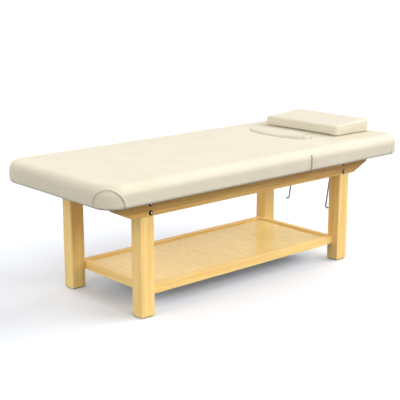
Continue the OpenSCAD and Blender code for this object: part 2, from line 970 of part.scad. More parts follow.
module prop_wire() {
    color(steel)
    translate([axle_x, 0, axle_z]) rotate([0, hang_lean, 0])
        for (side = [0, 1]) mirror([0, side, 0]) prop_half();
}

// Clip round the axle, its flanges under the board
clip_in_r = wire_d / 2 + wire_play;
clip_out_r = clip_in_r + clip_thick;
flange_length = 2 * screw_head_d;
clip_reach = clip_out_r + flange_length;

module prop_clips() {
    drop = deck_z - axle_z;
    color(steel) difference() {
        for (side = [-1, 1])
            translate([axle_x, side * clip_y + clip_width / 2, axle_z]) rotate([90, 0, 0])
                linear_extrude(clip_width) difference() {
                    union() {
                        circle(r = clip_out_r, $fn = fine);
                        translate([-clip_out_r, 0]) square([2 * clip_out_r, drop]);
                        translate([-clip_reach, drop - clip_thick])
                            square([2 * clip_reach, clip_thick]);
                    }
                    circle(r = clip_in_r, $fn = fine);
                    translate([-clip_in_r, 0]) square([2 * clip_in_r, drop + over]);
                    translate([-clip_out_r, drop]) square([2 * clip_out_r, clip_out_r]);
                }
        clip_screw_set(snug);
    }
}

module clip_screw_set(gap) {
    for (side = [-1, 1], end = [-1, 1])
        translate([
            axle_x + end * (clip_out_r + flange_length / 2), side * clip_y, deck_z - clip_thick
        ])
            rotate([180, 0, 0]) screw_shape(screw_d, screw_head_d, screw_length, gap);
}

module clip_screws() {
    color(steel) clip_screw_set(0);
}

// Face plug and pillow

plug_top = top_height + plug_proud;
plug_steps = 4;
plug_crown_shares = [0.35, 0.7];
plug_crown = crown_rise / 2;

module plug_base() {
    color(ply) translate([plug_x, 0, hinge_z + soft_gap]) linear_extrude(plug_base_thick)
        polygon(oval(plug_width / 2 - plug_play, plug_length / 2 - plug_play));
}

function plug_ring(d, z) = [
    for (p = oval(plug_width / 2 - d, plug_length / 2 - d)) [p[0], p[1], z]
];

module plug_cushion() {
    low = hinge_z + soft_gap + plug_base_thick;
    color(cream) translate([plug_x, 0, 0]) loft(concat(
        [plug_ring(0, low)],
        [
            for (i = [0 : plug_steps])
                let (a = 90 * i / plug_steps)
                plug_ring(plug_edge_r * (1 - cos(a)), plug_top - plug_edge_r * (1 - sin(a)))
        ],
        [
            for (s = plug_crown_shares)
                plug_ring(plug_edge_r + s * plug_width / 2, plug_top + plug_crown * s)
        ]
    ));
}

// Inset and rise of the pillow's profile: a flat lower face and a crowned upper one
pillow_steps = 4;
pillow_crown = crown_rise;
pillow_draw = side_draw;
pillow_crown_shares = [0.2, 0.45];
pillow_rise_shares = [0.6, 1];

module pillow() {
    low = top_height + crown_rise + soft_gap;
    high = low + pillow_thick;
    edge = [
        for (i = [0 : pillow_steps])
            let (a = 90 * i / pillow_steps)
            [pillow_edge_r * (1 - cos(a)), pillow_edge_r * (1 - sin(a))]
    ];
    profile = concat(
        [for (i = [pillow_steps : -1 : 0]) [edge[i][0], low + edge[i][1]]],
        [for (i = [0 : pillow_steps]) [edge[i][0], high - edge[i][1]]],
        [
            for (i = [0 : len(pillow_crown_shares) - 1])
                [
                    pillow_edge_r + pillow_width / 2 * pillow_crown_shares[i],
                    high + pillow_crown * pillow_rise_shares[i]
                ]
        ]
    );
    color(cream) translate([pillow_x, 0, 0]) loft([
        for (p = profile)
            soft_ring(pillow_width, pillow_length, pillow_corner_r, p[0], p[1], pillow_draw)
    ]);
}

leg(-1, -1);  // leg_foot_near
leg(-1, 1);  // leg_foot_far
leg(1, -1);  // leg_head_near
leg(1, 1);  // leg_head_far
foot_pads();
top_rail(-1);  // rail_near
top_rail(1);  // rail_far
cross_rail(foot_cross_x, leg_in_y);  // cross_rail_foot
cross_rail(mid_cross_x, lap_y);  // cross_rail_mid
cross_rail(head_cross_x, leg_in_y);  // cross_rail_head
frame_dowels();
rail_bolts();
insert_nuts();
tray_rail_long(-1);  // tray_rail_near
tray_rail_long(1);  // tray_rail_far
tray_rail_short(-1);  // tray_rail_foot
tray_rail_short(1);  // tray_rail_head
tray_panel();
tray_batten(-1);  // tray_batten_foot
tray_batten(1);  // tray_batten_head
tray_dowels();
main_board();
main_cushion();
fold_cushion();
top_brackets();
bracket_screws();
hinge_leaves_fixed();
hinge_pins();
leaf_screws_fixed();
rack(-1);  // rack_near
rack(1);  // rack_far
rack_screws();
head_board();
head_cushion();
hinge_leaves_moving();
leaf_screws_moving();
prop_clips();
clip_screws();
prop_wire();
plug_base();
plug_cushion();
pillow();
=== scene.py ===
"""Dresses the stationary massage table: wooden base, padded top with a lifting head, prop, plug and pillow."""

import logging
import math
from dataclasses import dataclass, field, replace
from enum import Enum
from typing import Callable, Mapping, Sequence, Union

import bmesh
import bpy
from mathutils import Matrix, Vector, noise


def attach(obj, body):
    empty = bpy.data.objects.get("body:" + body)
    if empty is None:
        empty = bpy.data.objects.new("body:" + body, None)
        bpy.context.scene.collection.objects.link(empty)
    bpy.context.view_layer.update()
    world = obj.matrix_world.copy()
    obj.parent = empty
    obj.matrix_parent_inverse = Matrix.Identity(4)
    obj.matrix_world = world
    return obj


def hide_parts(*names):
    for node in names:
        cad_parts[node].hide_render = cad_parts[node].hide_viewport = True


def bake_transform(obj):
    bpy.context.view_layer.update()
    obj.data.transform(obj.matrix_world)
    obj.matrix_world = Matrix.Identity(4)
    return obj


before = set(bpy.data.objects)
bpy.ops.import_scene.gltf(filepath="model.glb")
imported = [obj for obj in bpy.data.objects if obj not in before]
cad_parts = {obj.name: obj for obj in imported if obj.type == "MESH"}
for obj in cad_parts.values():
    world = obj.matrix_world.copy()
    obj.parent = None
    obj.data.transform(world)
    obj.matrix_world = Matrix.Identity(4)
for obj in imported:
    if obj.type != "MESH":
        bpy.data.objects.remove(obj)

log = logging.getLogger("massage_table")
Point = tuple[float, float, float]
Pair = tuple[float, float]
Colour = tuple[float, float, float]
Form = bmesh.types.BMesh
Vertex = bmesh.types.BMVert
Item = bpy.types.Object


class Grain(Enum):
    """The direction in which the grain of a wooden piece runs."""

    ALONG = (1.0, 0.0, 0.0)
    ACROSS = (0.0, 1.0, 0.0)
    UPRIGHT = (0.0, 0.0, 1.0)

    def drawn(self, scale: float) -> Point:
        """The scale of a pattern that is drawn out along the grain."""
        return tuple(scale if part else 1.0 for part in self.value)


class Part(Enum):
    """The bodies of the table that pieces ride on."""

    BASE = "base"
    HEADREST = "headrest"
    PROP = "prop"
    PLUG = "plug"
    PILLOW = "pillow"


# Shader sheets


@dataclass(frozen=True)
class Sock:
    """An output of a shader node, on which Python's operators work."""

    sheet: "Sheet"
    socket: bpy.types.NodeSocket

    @property
    def wide(self) -> bool:
        """Whether it carries a vector or a colour."""
        return self.socket.type in {"VECTOR", "RGBA"}

    def _with(self, word: str, other: "Value", swapped: bool = False) -> "Sock":
        """Adds the node for one operator, with the other value first where they are swapped."""
        pair = (other, self) if swapped else (self, other)
        return self.sheet.maths(word, *pair)

    def __add__(self, other: "Value") -> "Sock":
        """Self plus other."""
        return self._with("ADD", other)

    def __radd__(self, other: "Value") -> "Sock":
        """Other plus self."""
        return self._with("ADD", other, True)

    def __sub__(self, other: "Value") -> "Sock":
        """Self minus other."""
        return self._with("SUBTRACT", other)

    def __rsub__(self, other: "Value") -> "Sock":
        """Other minus self."""
        return self._with("SUBTRACT", other, True)

    def __mul__(self, other: "Value") -> "Sock":
        """Self times other."""
        return self._with("MULTIPLY", other)

    def __rmul__(self, other: "Value") -> "Sock":
        """Other times self."""
        return self._with("MULTIPLY", other, True)

    def __truediv__(self, other: "Value") -> "Sock":
        """Self divided by other."""
        return self._with("DIVIDE", other)

    def __pow__(self, other: "Value") -> "Sock":
        """Self to the power of other."""
        return self._with("POWER", other)


Value = Union[Sock, float, Point]


@dataclass(frozen=True)
class Sheet:
    """The node sheet of one material, or of the world."""

    tree: bpy.types.NodeTree

    def node(
        self,
        kind: str,
        settings: Mapping[str, object] | None = None,
        values: Mapping[Union[str, int], object] | None = None,
        out: Union[str, int] = 0,
    ) -> Sock:
        """Adds one node.

        Args:
            kind: the node's type
            settings: its properties, set first; stops gives a ramp's places and colours
            values: links or plain values of its inputs, by name or number
            out: the output that is wanted

        Returns:
            that output
        """
        made = self.tree.nodes.new(kind)
        for key, value in (settings or {}).items():
            if key == "stops":
                marks = made.color_ramp.elements
                while len(marks) < len(value):
                    marks.new(0.5)
                for mark, (place, colour) in zip(marks, value):
                    mark.position = place
                    mark.color = (*colour, 1.0)
            else:
                setattr(made, key, value)
        for key, value in (values or {}).items():
            socket = made.inputs[key]
            if isinstance(value, Sock):
                self.tree.links.new(value.socket, socket)
            elif socket.type == "RGBA" and len(value) == 3:
                socket.default_value = (*value, 1.0)
            else:
                socket.default_value = value
        return Sock(self, made.outputs[out])

    def maths(self, word: str, *values: Value) -> Sock:
        """Adds a Math node, or a Vector Math node where one of the values is wide.

        Args:
            word: the operation
            *values: the values in order

        Returns:
            the result
        """
        wide = any(isinstance(v, Sock) and v.wide or isinstance(v, tuple) for v in values)
        kind = "ShaderNodeVectorMath" if wide else "ShaderNodeMath"
        inputs = {
            place: (float(value),) * 3 if wide and isinstance(value, (int, float)) else value
            for place, value in enumerate(values)
        }
        return self.node(kind, {"operation": word}, inputs, out="Value" if word == "DOT_PRODUCT" else 0)

    def spot(self, scale: Point = (1.0, 1.0, 1.0), shift: Point = (0.0, 0.0, 0.0)) -> Sock:
        """Object coordinates, multiplied by a scale and then moved by a shift."""
        place = self.node("ShaderNodeTexCoord", out="Object")
        return self.node("ShaderNodeMapping", None, {0: place, "Location": shift, "Scale": scale})

    def facing(self) -> Sock:
        """The normal in the object's own axes."""
        return self.node("ShaderNodeTexCoord", out="Normal")

    def part(self, vector: Sock, axis: int) -> Sock:
        """One component of a vector."""
        return self.node("ShaderNodeSeparateXYZ", None, {0: vector}, out=axis)

    def cloud(self, place: Sock, scale: float, detail: float = 3.0, rough: float = 0.5, bend: float = 0.0) -> Sock:
        """Fractal noise.

        Args:
            place: the coordinates
            scale: its size factor
            detail: how many octaves it has
            rough: the weight of the finer octaves
            bend: how far it is distorted

        Returns:
            a value about 0.5
        """
        values = {0: place, "Scale": scale, "Detail": detail, "Roughness": rough, "Distortion": bend}
        return self.node("ShaderNodeTexNoise", None, values)

    def ramp(self, amount: Sock, low: float, high: float) -> Sock:
        """A smooth step from 0 at low to 1 at high."""
        return self.node("ShaderNodeMapRange", {"interpolation_type": "SMOOTHSTEP"}, {0: amount, 1: low, 2: high})

    def blend(self, amount: Value, first: Value, second: Value) -> Sock:
        """Mixes two colours, where amount is the share of the second."""
        return self.node("ShaderNodeMix", {"data_type": "RGBA"}, {0: amount, 6: first, 7: second}, out=2)

    def stain(self, tone: Value, mask: Sock, low: float, high: float, share: float, colour: Value) -> Sock:
        """Lays a colour over another where a mask is high.

        Args:
            tone: the colour below
            mask: the mask
            low: the mask's value up to which nothing shows
            high: its value from which the colour shows most
            share: how much of the colour shows there
            colour: the colour laid on

        Returns:
            the new colour
        """
        return self.blend(self.ramp(mask, low, high) * share, tone, colour)

    def bump(self, height: Sock, depth: float, strength: float) -> Sock:
        """A normal bent by a height that goes from 0 to 1 over a depth in metres."""
        return self.node("ShaderNodeBump", None, {"Height": height, "Distance": depth, "Strength": strength})

    def close(self, tone: Sock, rough: Value, fixed: Mapping[str, float], normal: Sock | None = None) -> None:
        """Ends the sheet in a Principled BSDF.

        Args:
            tone: the colour
            rough: the roughness
            fixed: values that are the same all over, set on the shader's own sockets
            normal: the bent normal, if any
        """
        linked = {"Base Color": tone, "Roughness": rough, **({"Normal": normal} if normal else {})}
        shader = self.node("ShaderNodeBsdfPrincipled", None, {**fixed, **linked})
        end = self.tree.nodes.new("ShaderNodeOutputMaterial")
        self.tree.links.new(shader.socket, end.inputs["Surface"])


@dataclass(frozen=True)
class BoltPlaces:
    """Where the rail bolts sit in the two rails, whose recesses get painted shade and whose faces get a painted
    highlight.
    """

    middle: float = -0.0155
    spread: float = 0.628
    level: float = 0.49
    rise: float = 0.02

    def offsets(self, sheet: Sheet) -> tuple[Sock, Sock]:
        """How far a place lies past the middle of its nearest bolt, along the table and upwards.

        Args:
            sheet: the material's sheet

        Returns:
            the two distances
        """
        along = sheet.part(sheet.spot(), 0) - self.middle
        up = sheet.part(sheet.spot(), 2) - self.level
        return along - sheet.maths("SIGN", along) * self.spread, up - sheet.maths("SIGN", up) * self.rise


@dataclass(frozen=True)
class Finish:
    """A named finish, whose material is made once."""

    name: str

    def paint(self, sheet: Sheet) -> None:
        """Fills the sheet of the finish."""
        raise NotImplementedError(self.name)

    def material(self) -> bpy.types.Material:
        """Finds the finish's material, or makes it on first use.

        Returns:
            the material
        """
        found = bpy.data.materials.get(self.name)
        if found is None:
            found = bpy.data.materials.new(self.name)
            found.use_nodes = True
            found.node_tree.nodes.clear()
            self.paint(Sheet(found.node_tree))
        return found


@dataclass(frozen=True)
class LacqueredWood(Finish):
    """Straight-grained pale wood under a clear satin lacquer, with painted shade in the recesses where it is bored
    for bolts.
    """

    grain: Grain = Grain.ALONG
    seed: float = 0.0
    pale: Colour = (0.99, 0.715, 0.273)
    deep: Colour = (0.89, 0.57, 0.19)
    vein: Colour = (0.78, 0.47, 0.14)
    end: Colour = (0.66, 0.42, 0.15)
    pore: Colour = (0.30, 0.17, 0.06)
    # near black: the colour of the painted shade in the bolt recesses
    recess_shade: Colour = (0.018, 0.010, 0.007)
    paints_recess_shade: bool = False

    def paint(self, sheet: Sheet) -> None:
        """Growth lines, veins and fibres run along the grain, and the cut ends are darker.

        Args:
            sheet: the sheet to fill
        """
        shift = (self.seed, self.seed * 1.7, self.seed * 2.3)
        long_spot = sheet.spot(self.grain.drawn(0.045), shift)
        lines = sheet.cloud(long_spot, scale=46.0, rough=0.55, bend=0.9)
        veins = sheet.cloud(long_spot, scale=150.0, rough=0.6, bend=0.4)
        fibre = sheet.cloud(sheet.spot(self.grain.drawn(0.012), shift), scale=900.0, detail=2.0, rough=0.6)
        drift = sheet.cloud(sheet.spot(shift=shift), scale=3.2, detail=2.0)
        pores = sheet.cloud(sheet.spot(), scale=1400.0, detail=2.0, rough=0.7)
        cut = sheet.maths("ABSOLUTE", sheet.maths("DOT_PRODUCT", sheet.facing(), self.grain.value))
        ends = sheet.ramp(cut, 0.75, 0.95)
        tone = sheet.blend(sheet.ramp(lines, 0.42, 0.66) * 0.70 + drift * 0.30, self.pale, self.deep)
        tone = sheet.stain(tone, veins, 0.50, 0.68, 0.30, self.vein)
        tone = sheet.stain(tone, fibre, 0.52, 0.74, 0.20, self.deep)
        tone = sheet.blend(ends * 0.55, tone, self.end)
        tone = sheet.blend(ends * sheet.ramp(pores, 0.5, 0.7) * 0.3, tone, self.pore)
        if self.paints_recess_shade:
            # painted shade in the bolt recesses
            tone = sheet.blend(self._recess_shade_mask(sheet), tone, self.recess_shade)
        rough = drift * 0.12 + fibre * 0.10 + 0.25 + ends * 0.2
        coat = {"Specular IOR Level": 0.30, "Coat Roughness": 0.25, "Coat Weight": 0.06}
        sheet.close(tone, rough, coat, sheet.bump(fibre * (1.0 - ends) + pores * ends, 0.00012, 0.6))

    def _recess_shade_mask(self, sheet: Sheet) -> Sock:
        """Where shade is painted in the bolts' recesses: all round, but least on the wall towards the head end, which
        the light reaches.

        Args:
            sheet: the material's sheet

        Returns:
            a mask from 0 to 1
        """
        aside, rise = BOLTS.offsets(sheet)
        away = (aside * aside + rise * rise) ** 0.5
        return (1.0 - sheet.ramp(away, 0.0114, 0.0122)) * (1.0 - sheet.ramp(aside, 0.0070, 0.0095) * 0.8)


@dataclass(frozen=True)
class FiguredVeneer(Finish):
    """Wide veneer leaves with arched figure that run across the tray, on a pale backing."""

    leaf: float = 0.29
    start: Point = (0.022, 0.03, 0.0)
    arches: float = 7.0
    pale: Colour = (1.0, 0.785, 0.305)
    warm: Colour = (0.88, 0.62, 0.215)
    deep: Colour = (0.74, 0.47, 0.135)
    backing: Colour = (0.53, 0.525, 0.56)

    def paint(self, sheet: Sheet) -> None:
        """Arches are the level lines of a bent paraboloid in each leaf, and each leaf has its own tone.

        Args:
            sheet: the sheet to fill
        """
        place = sheet.spot(shift=self.start)
        wander = sheet.cloud(place, scale=5.0, detail=2.0)
        leaf_line = sheet.maths("PINGPONG", sheet.part(place, 0) + wander * 0.05, self.leaf / 2)
        bow = (leaf_line / (self.leaf / 2)) ** 2.0
        waves = sheet.cloud(sheet.spot((1.0, 0.25, 1.0)), scale=22.0, rough=0.55)
        height = sheet.part(place, 1) * 2.1 + bow * 1.7 + wander * 1.3 + waves * 0.30
        arches = sheet.maths("SINE", height * (2 * math.pi * self.arches)) * 0.5 + 0.5
        strokes = sheet.cloud(sheet.spot((1.0, 0.05, 1.0)), scale=190.0, rough=0.6)
        streaks = sheet.cloud(sheet.spot((1.0, 0.07, 1.0), (0.4, 0.0, 0.0)), scale=52.0, rough=0.55)
        patches = sheet.cloud(place, scale=9.0, detail=2.0)
        leaf_tone = sheet.cloud(sheet.maths("FLOOR", place * (1.0 / self.leaf, 0.0, 0.0)), scale=7.3, detail=0.0)
        figure = (arches ** 1.6) * sheet.ramp(strokes, 0.34, 0.66) * sheet.ramp(patches, 0.36, 0.62)
        tone = sheet.stain(self.pale, leaf_tone, 0.35, 0.65, 0.42, self.warm)
        tone = sheet.stain(tone, streaks, 0.42, 0.66, 0.46, self.warm)
        tone = sheet.blend(figure * 0.75, tone, self.deep)
        tone = sheet.stain(tone, strokes, 0.48, 0.72, 0.36, self.deep)
        tone = sheet.blend(sheet.ramp(sheet.part(sheet.facing(), 2) * -1.0, 0.4, 0.8), tone, self.backing)
        coat = {"Specular IOR Level": 0.4, "Coat Weight": 0.15, "Coat Roughness": 0.14}
        sheet.close(tone, patches * 0.10 + strokes * 0.08 + 0.20, coat, sheet.bump(strokes, 0.00010, 0.5))


@dataclass(frozen=True)
class BarePlywood(Finish):
    """Bare plywood with its layers showing on the edges."""

    layer: float = 0.0030
    pale: Colour = (0.74, 0.54, 0.30)
    deep: Colour = (0.50, 0.32, 0.15)

    def paint(self, sheet: Sheet) -> None:
        """The faces have an arched grain, the edges have light and dark layers.

        Args:
            sheet: the sheet to fill
        """
        level = sheet.part(sheet.spot(), 2)
        stripes = sheet.maths("SINE", level * (2 * math.pi / self.layer)) * 0.5 + 0.5
        edge = 1.0 - sheet.ramp(sheet.maths("ABSOLUTE", sheet.part(sheet.facing(), 2)), 0.4, 0.8)
        grain = sheet.cloud(sheet.spot((0.06, 1.0, 1.0)), scale=60.0, detail=4.0, rough=0.6, bend=1.2)
        fuzz = sheet.cloud(sheet.spot((0.1, 1.0, 1.0)), scale=700.0, detail=2.0, rough=0.7)
        tone = sheet.stain(self.pale, grain, 0.42, 0.64, 0.45, self.deep)
        tone = sheet.blend(edge * sheet.ramp(stripes, 0.35, 0.65) * 0.7, tone, self.deep)
        tone = sheet.stain(tone, fuzz, 0.5, 0.75, 0.25, self.deep)
        relief = fuzz * 0.5 + stripes * edge * 0.5
        sheet.close(tone, fuzz * 0.15 + 0.58, {"Specular IOR Level": 0.3}, sheet.bump(relief, 0.0002, 0.6))


@dataclass(frozen=True)
class Leatherette(Finish):
    """Cream leatherette with a fine pebbled grain, darker at its seams, and with painted shade where the mesh marks
    it and on its corner patches.
    """

    cream: Colour = (0.697, 0.638, 0.498)
    shade: Colour = (0.672, 0.611, 0.472)
    thread_and_shade: Colour = (0.24, 0.19, 0.12)
    pebble: float = 620.0

    def paint(self, sheet: Sheet) -> None:
        """One attribute of the mesh marks the seams and the places where shade is painted; the other marks the corner
        patches, which get a little painted shade.

        Args:
            sheet: the sheet to fill
        """
        place = sheet.spot()
        mottle = sheet.cloud(place, scale=7.0, rough=0.55)
        pebbles = {"Vector": place, "Scale": self.pebble, "Smoothness": 0.6, "Randomness": 1.0}
        cells = sheet.node("ShaderNodeTexVoronoi", {"feature": "SMOOTH_F1"}, pebbles)
        creases = sheet.cloud(place, scale=260.0, detail=4.0, rough=0.65)
        seam, patch = (sheet.node("ShaderNodeAttribute", {"attribute_name": n}, out="Fac") for n in ("seam", "patch"))
        tone = sheet.blend(sheet.ramp(mottle, 0.3, 0.7), self.cream, self.shade)
        tone = sheet.stain(tone, cells, 0.35, 0.8, 0.10, self.thread_and_shade)
        # painted shade on the half-moon corner patches
        tone = sheet.blend(patch * 0.4, tone, tuple(0.93 * part for part in self.shade))
        # darkens the seams and paints shade where the mesh marks it
        tone = sheet.blend(seam, tone, self.thread_and_shade)
        rough = mottle * 0.12 + creases * 0.10 + 0.36 + seam * 0.2
        sheen = {"Specular IOR Level": 0.42, "Sheen Weight": 0.06, "Sheen Roughness": 0.5}
        sheet.close(tone, rough, sheen, sheet.bump(cells * 0.7 + creases * 0.3, 0.00018, 0.5))


@dataclass(frozen=True)
class PlatedSteel(Finish):
    """Drawn and plated steel with faint draw lines and dull spots."""

    tone: Colour = (0.62, 0.62, 0.60)
    dull: Colour = (0.34, 0.33, 0.32)
    rough: float = 0.16

    def paint(self, sheet: Sheet) -> None:
        """Draw lines run along the piece, and blotches of dulled plating lie over them.

        Args:
            sheet: the sheet to fill
        """
        lines = sheet.cloud(sheet.spot(Grain.UPRIGHT.drawn(0.03)), scale=1500.0, detail=2.0, rough=0.6)
        blotch = sheet.cloud(sheet.spot(), scale=55.0, rough=0.6)
        tone = sheet.stain(self.tone, blotch, 0.40, 0.72, 0.6, self.dull)
        rough = blotch * 0.22 + lines * 0.10 + self.rough
        sheet.close(tone, rough, {"Metallic": 1.0}, sheet.bump(lines, 0.00004, 0.5))


@dataclass(frozen=True)
class BronzedSteel(Finish):
    """Dark bronzed bolts, with a highlight painted on the head-end half of their faces."""

    tone: Colour = (0.028, 0.013, 0.010)
    painted_highlight: Colour = (0.86, 0.66, 0.62)
    face: float = 0.2940

    def paint(self, sheet: Sheet) -> None:
        """The painted highlight lies on the face alone, past each bolt's middle, and fades towards the bolt's top.

        Args:
            sheet: the sheet to fill
        """
        blotch = sheet.cloud(sheet.spot(), scale=260.0, rough=0.6)
        scratch = sheet.cloud(sheet.spot((1.0, 1.0, 0.2)), scale=1800.0, detail=2.0, rough=0.6)
        reach = sheet.maths("ABSOLUTE", sheet.part(sheet.spot(), 1))
        outer = sheet.ramp(reach, self.face, self.face + 0.001)
        aside, rise = BOLTS.offsets(sheet)
        # a highlight painted on the head-end half of each bolt's face
        highlight_mask = sheet.ramp(aside, 0.0020, 0.0050) * (1.0 - sheet.ramp(rise, 0.0020, 0.0055))
        tone = sheet.blend(outer * highlight_mask, self.tone, self.painted_highlight)
        rough = blotch * 0.2 + scratch * 0.1 + 0.22
        sheet.close(tone, rough, {"Metallic": 0.9}, sheet.bump(scratch, 0.00005, 0.5))


@dataclass(frozen=True)
class PadRubber(Finish):
    """Matt black-brown rubber with floor dust at its foot."""

    tone: Colour = (0.035, 0.032, 0.030)
    dust: Colour = (0.19, 0.18, 0.165)

    def paint(self, sheet: Sheet) -> None:
        """Dust gathers on the lowest four millimetres and in the moulding's grain.

        Args:
            sheet: the sheet to fill
        """
        low = 1.0 - sheet.ramp(sheet.part(sheet.spot(), 2), 0.0, 0.004)
        speck = sheet.cloud(sheet.spot(), scale=900.0, rough=0.7)
        tone = sheet.blend((low * 0.7 + 0.2) * sheet.ramp(speck, 0.45, 0.7), self.tone, self.dust)
        sheet.close(tone, speck * 0.2 + 0.65, {"Specular IOR Level": 0.3}, sheet.bump(speck, 0.0002, 0.6))


@dataclass(frozen=True)
class StudioFloor(Finish):
    """Matt white studio floor."""

    white: Colour = (0.892, 0.920, 0.970)
    shade: Colour = (0.877, 0.906, 0.958)

    def paint(self, sheet: Sheet) -> None:
        """A hint of unevenness keeps it from looking flat.

        Args:
            sheet: the sheet to fill
        """
        tone = sheet.blend(sheet.cloud(sheet.spot(), scale=1.3, detail=2.0) * 0.1, self.white, self.shade)
        sheet.close(tone, 0.85, {"Specular IOR Level": 0.1})


BOLTS = BoltPlaces()
COVER = Leatherette("cream_leatherette")
# a darker copy of the cream cover: painted shade on the plug beside the pillow
PLUG_COVER_SHADED = Leatherette("plug_leatherette_shaded", cream=(0.652, 0.597, 0.470))
PILLOW_COVER = Leatherette("pillow_leatherette", cream=(0.680, 0.622, 0.490))
PIPING = Leatherette("piping_leatherette", cream=(0.715, 0.655, 0.515), shade=(0.69, 0.63, 0.49))
ZINC = PlatedSteel("zinc_plate")
PROP_STEEL = PlatedSteel("dulled_prop_steel", tone=(0.22, 0.21, 0.21), dull=(0.10, 0.095, 0.09), rough=0.24)
BRONZE = BronzedSteel("bronzed_bolt")
RUBBER = PadRubber("foot_pad_rubber")
VENEER = FiguredVeneer("figured_tray_veneer")
PLYWOOD = BarePlywood("bare_board_plywood")


# Bench tools


def smooth(amount: float, low: float, high: float) -> float:
    """A smooth step from 0 at low to 1 at high."""
    share = min(1.0, max(0.0, (amount - low) / (high - low)))
    return share * share * (3 - 2 * share)


def bell(amount: float, width: float) -> float:
    """A bell curve of height 1 about zero."""
    return math.exp(-((amount / width) ** 2))


@dataclass(frozen=True)
class Swell:
    """A bell-shaped swell of a surface, or a dark line across it."""

    size: float
    width: float
    place: float = 0.0

    def at(self, amount: float) -> float:
        """Its height, or its darkness, at a distance."""
        return self.size * bell(amount - self.place, self.width)


def ripple(place: Point, size: float, seed: float = 0.0) -> float:
    """Soft noise from -1 to 1 whose waves are about size metres long."""
    return noise.noise(Vector(place) / size + Vector((seed, seed * 0.7, -seed)))


def placed(name: str, data: bpy.types.ID) -> Item:
    """Sets a mesh, curve, lamp or camera into the scene as an object.

    Args:
        name: its name
        data: the mesh, curve, lamp or camera

    Returns:
        the object
    """
    made = bpy.data.objects.new(name, data)
    bpy.context.scene.collection.objects.link(made)
    return made


def meshed(name: str, bm: Form) -> Item:
    """Sets a bmesh into the scene as an object, and frees it.

    Args:
        name: the object's name
        bm: its shape

    Returns:
        the object
    """
    mesh = bpy.data.meshes.new(name)
    bm.to_mesh(mesh)
    bm.free()
    return placed(name, mesh)


def solved(made: Item) -> bpy.types.Mesh:
    """A new mesh of an object after its modifiers."""
    bpy.context.view_layer.update()
    return bpy.data.meshes.new_from_object(made.evaluated_get(bpy.context.evaluated_depsgraph_get()))


def baked(made: Item) -> None:
    """Applies the modifiers of an object to its mesh.

    Args:
        made: the object
    """
    mesh = solved(made)
    made.modifiers.clear()
    made.data = mesh


def piece(name: str, bm: Form, finish: Finish, part: Part | None, soft: bool = True) -> Item:
    """Turns a bmesh into a dressed piece.

    Args:
        name: the piece's name
        bm: its shape, freed here
        finish: its finish
        part: the body that it rides on, or nothing where it is dressed again later or rides on no body
        soft: whether its faces are shaded smooth

    Returns:
        the new object
    """
    return dress(meshed(name, bm), finish, part, soft)


def dress(made: Item, finish: Finish, part: Part | None, soft: bool = True) -> Item:
    """Gives an object its finish, its shading and its body.

    Args:
        made: the object
        finish: its finish
        part: the body that it rides on, if any yet
        soft: whether its faces are shaded smooth

    Returns:
        the same object
    """
    made.data.materials.clear()
    made.data.materials.append(finish.material())
    made.data.polygons.foreach_set("use_smooth", [soft] * len(made.data.polygons))
    if part is not None:
        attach(made, part.value)
    return made


def lofted(bm: Form, edges: list, place: Callable[[object, object], None], steps: Sequence) -> list:
    """Extrudes a loop of edges once for each step.

    Args:
        bm: the mesh
        edges: the loop
        place: puts a new vertex in its place for a step
        steps: the steps

    Returns:
        the last loop of edges
    """
    for step in steps:
        made = bmesh.ops.extrude_edge_only(bm, edges=edges)["geom"]
        fresh = {g for g in made if isinstance(g, Vertex)}
        edges = [g for g in made if isinstance(g, bmesh.types.BMEdge) and fresh.issuperset(g.verts)]
        for vertex in fresh:
            place(vertex, step)
    return edges


def eased(bm: Form, edges: list, radius: float, steps: int, clamp: bool = False) -> None:
    """Rounds edges.

    Args:
        bm: the mesh
        edges: the edges
        radius: how far the rounding reaches from each
        steps: how many faces it has across
        clamp: whether it stops where roundings meet
    """
    bmesh.ops.bevel(
        bm, geom=edges, offset=radius, affect="EDGES", segments=steps, profile=0.5, material=-1, clamp_overlap=clamp
    )


def tube(name: str, route: Sequence[Vector], radius: float, closed: bool = False) -> Form:
    """A round tube along a route.

    Args:
        name: a name for the helper curve
        route: its points
        radius: the tube's radius
        closed: whether its ends meet

    Returns:
        the tube as a bmesh
    """
    curve = bpy.data.curves.new(name, "CURVE")
    curve.dimensions = "3D"
    curve.bevel_depth = radius
    curve.bevel_resolution = 3
    curve.use_fill_caps = not closed
    line = curve.splines.new("POLY")
    line.points.add(len(route) - 1)
    for spot, point in zip(line.points, route):
        spot.co = (*point, 1.0)
    line.use_cyclic_u = closed
    helper = placed(name, curve)
    mesh = solved(helper)
    bm = bmesh.new()
    bm.from_mesh(mesh)
    bpy.data.objects.remove(helper)
    bpy.data.curves.remove(curve)
    bpy.data.meshes.remove(mesh)
    bmesh.ops.remove_doubles(bm, verts=bm.verts, dist=1e-6)
    bmesh.ops.recalc_face_normals(bm, faces=bm.faces)
    return bm


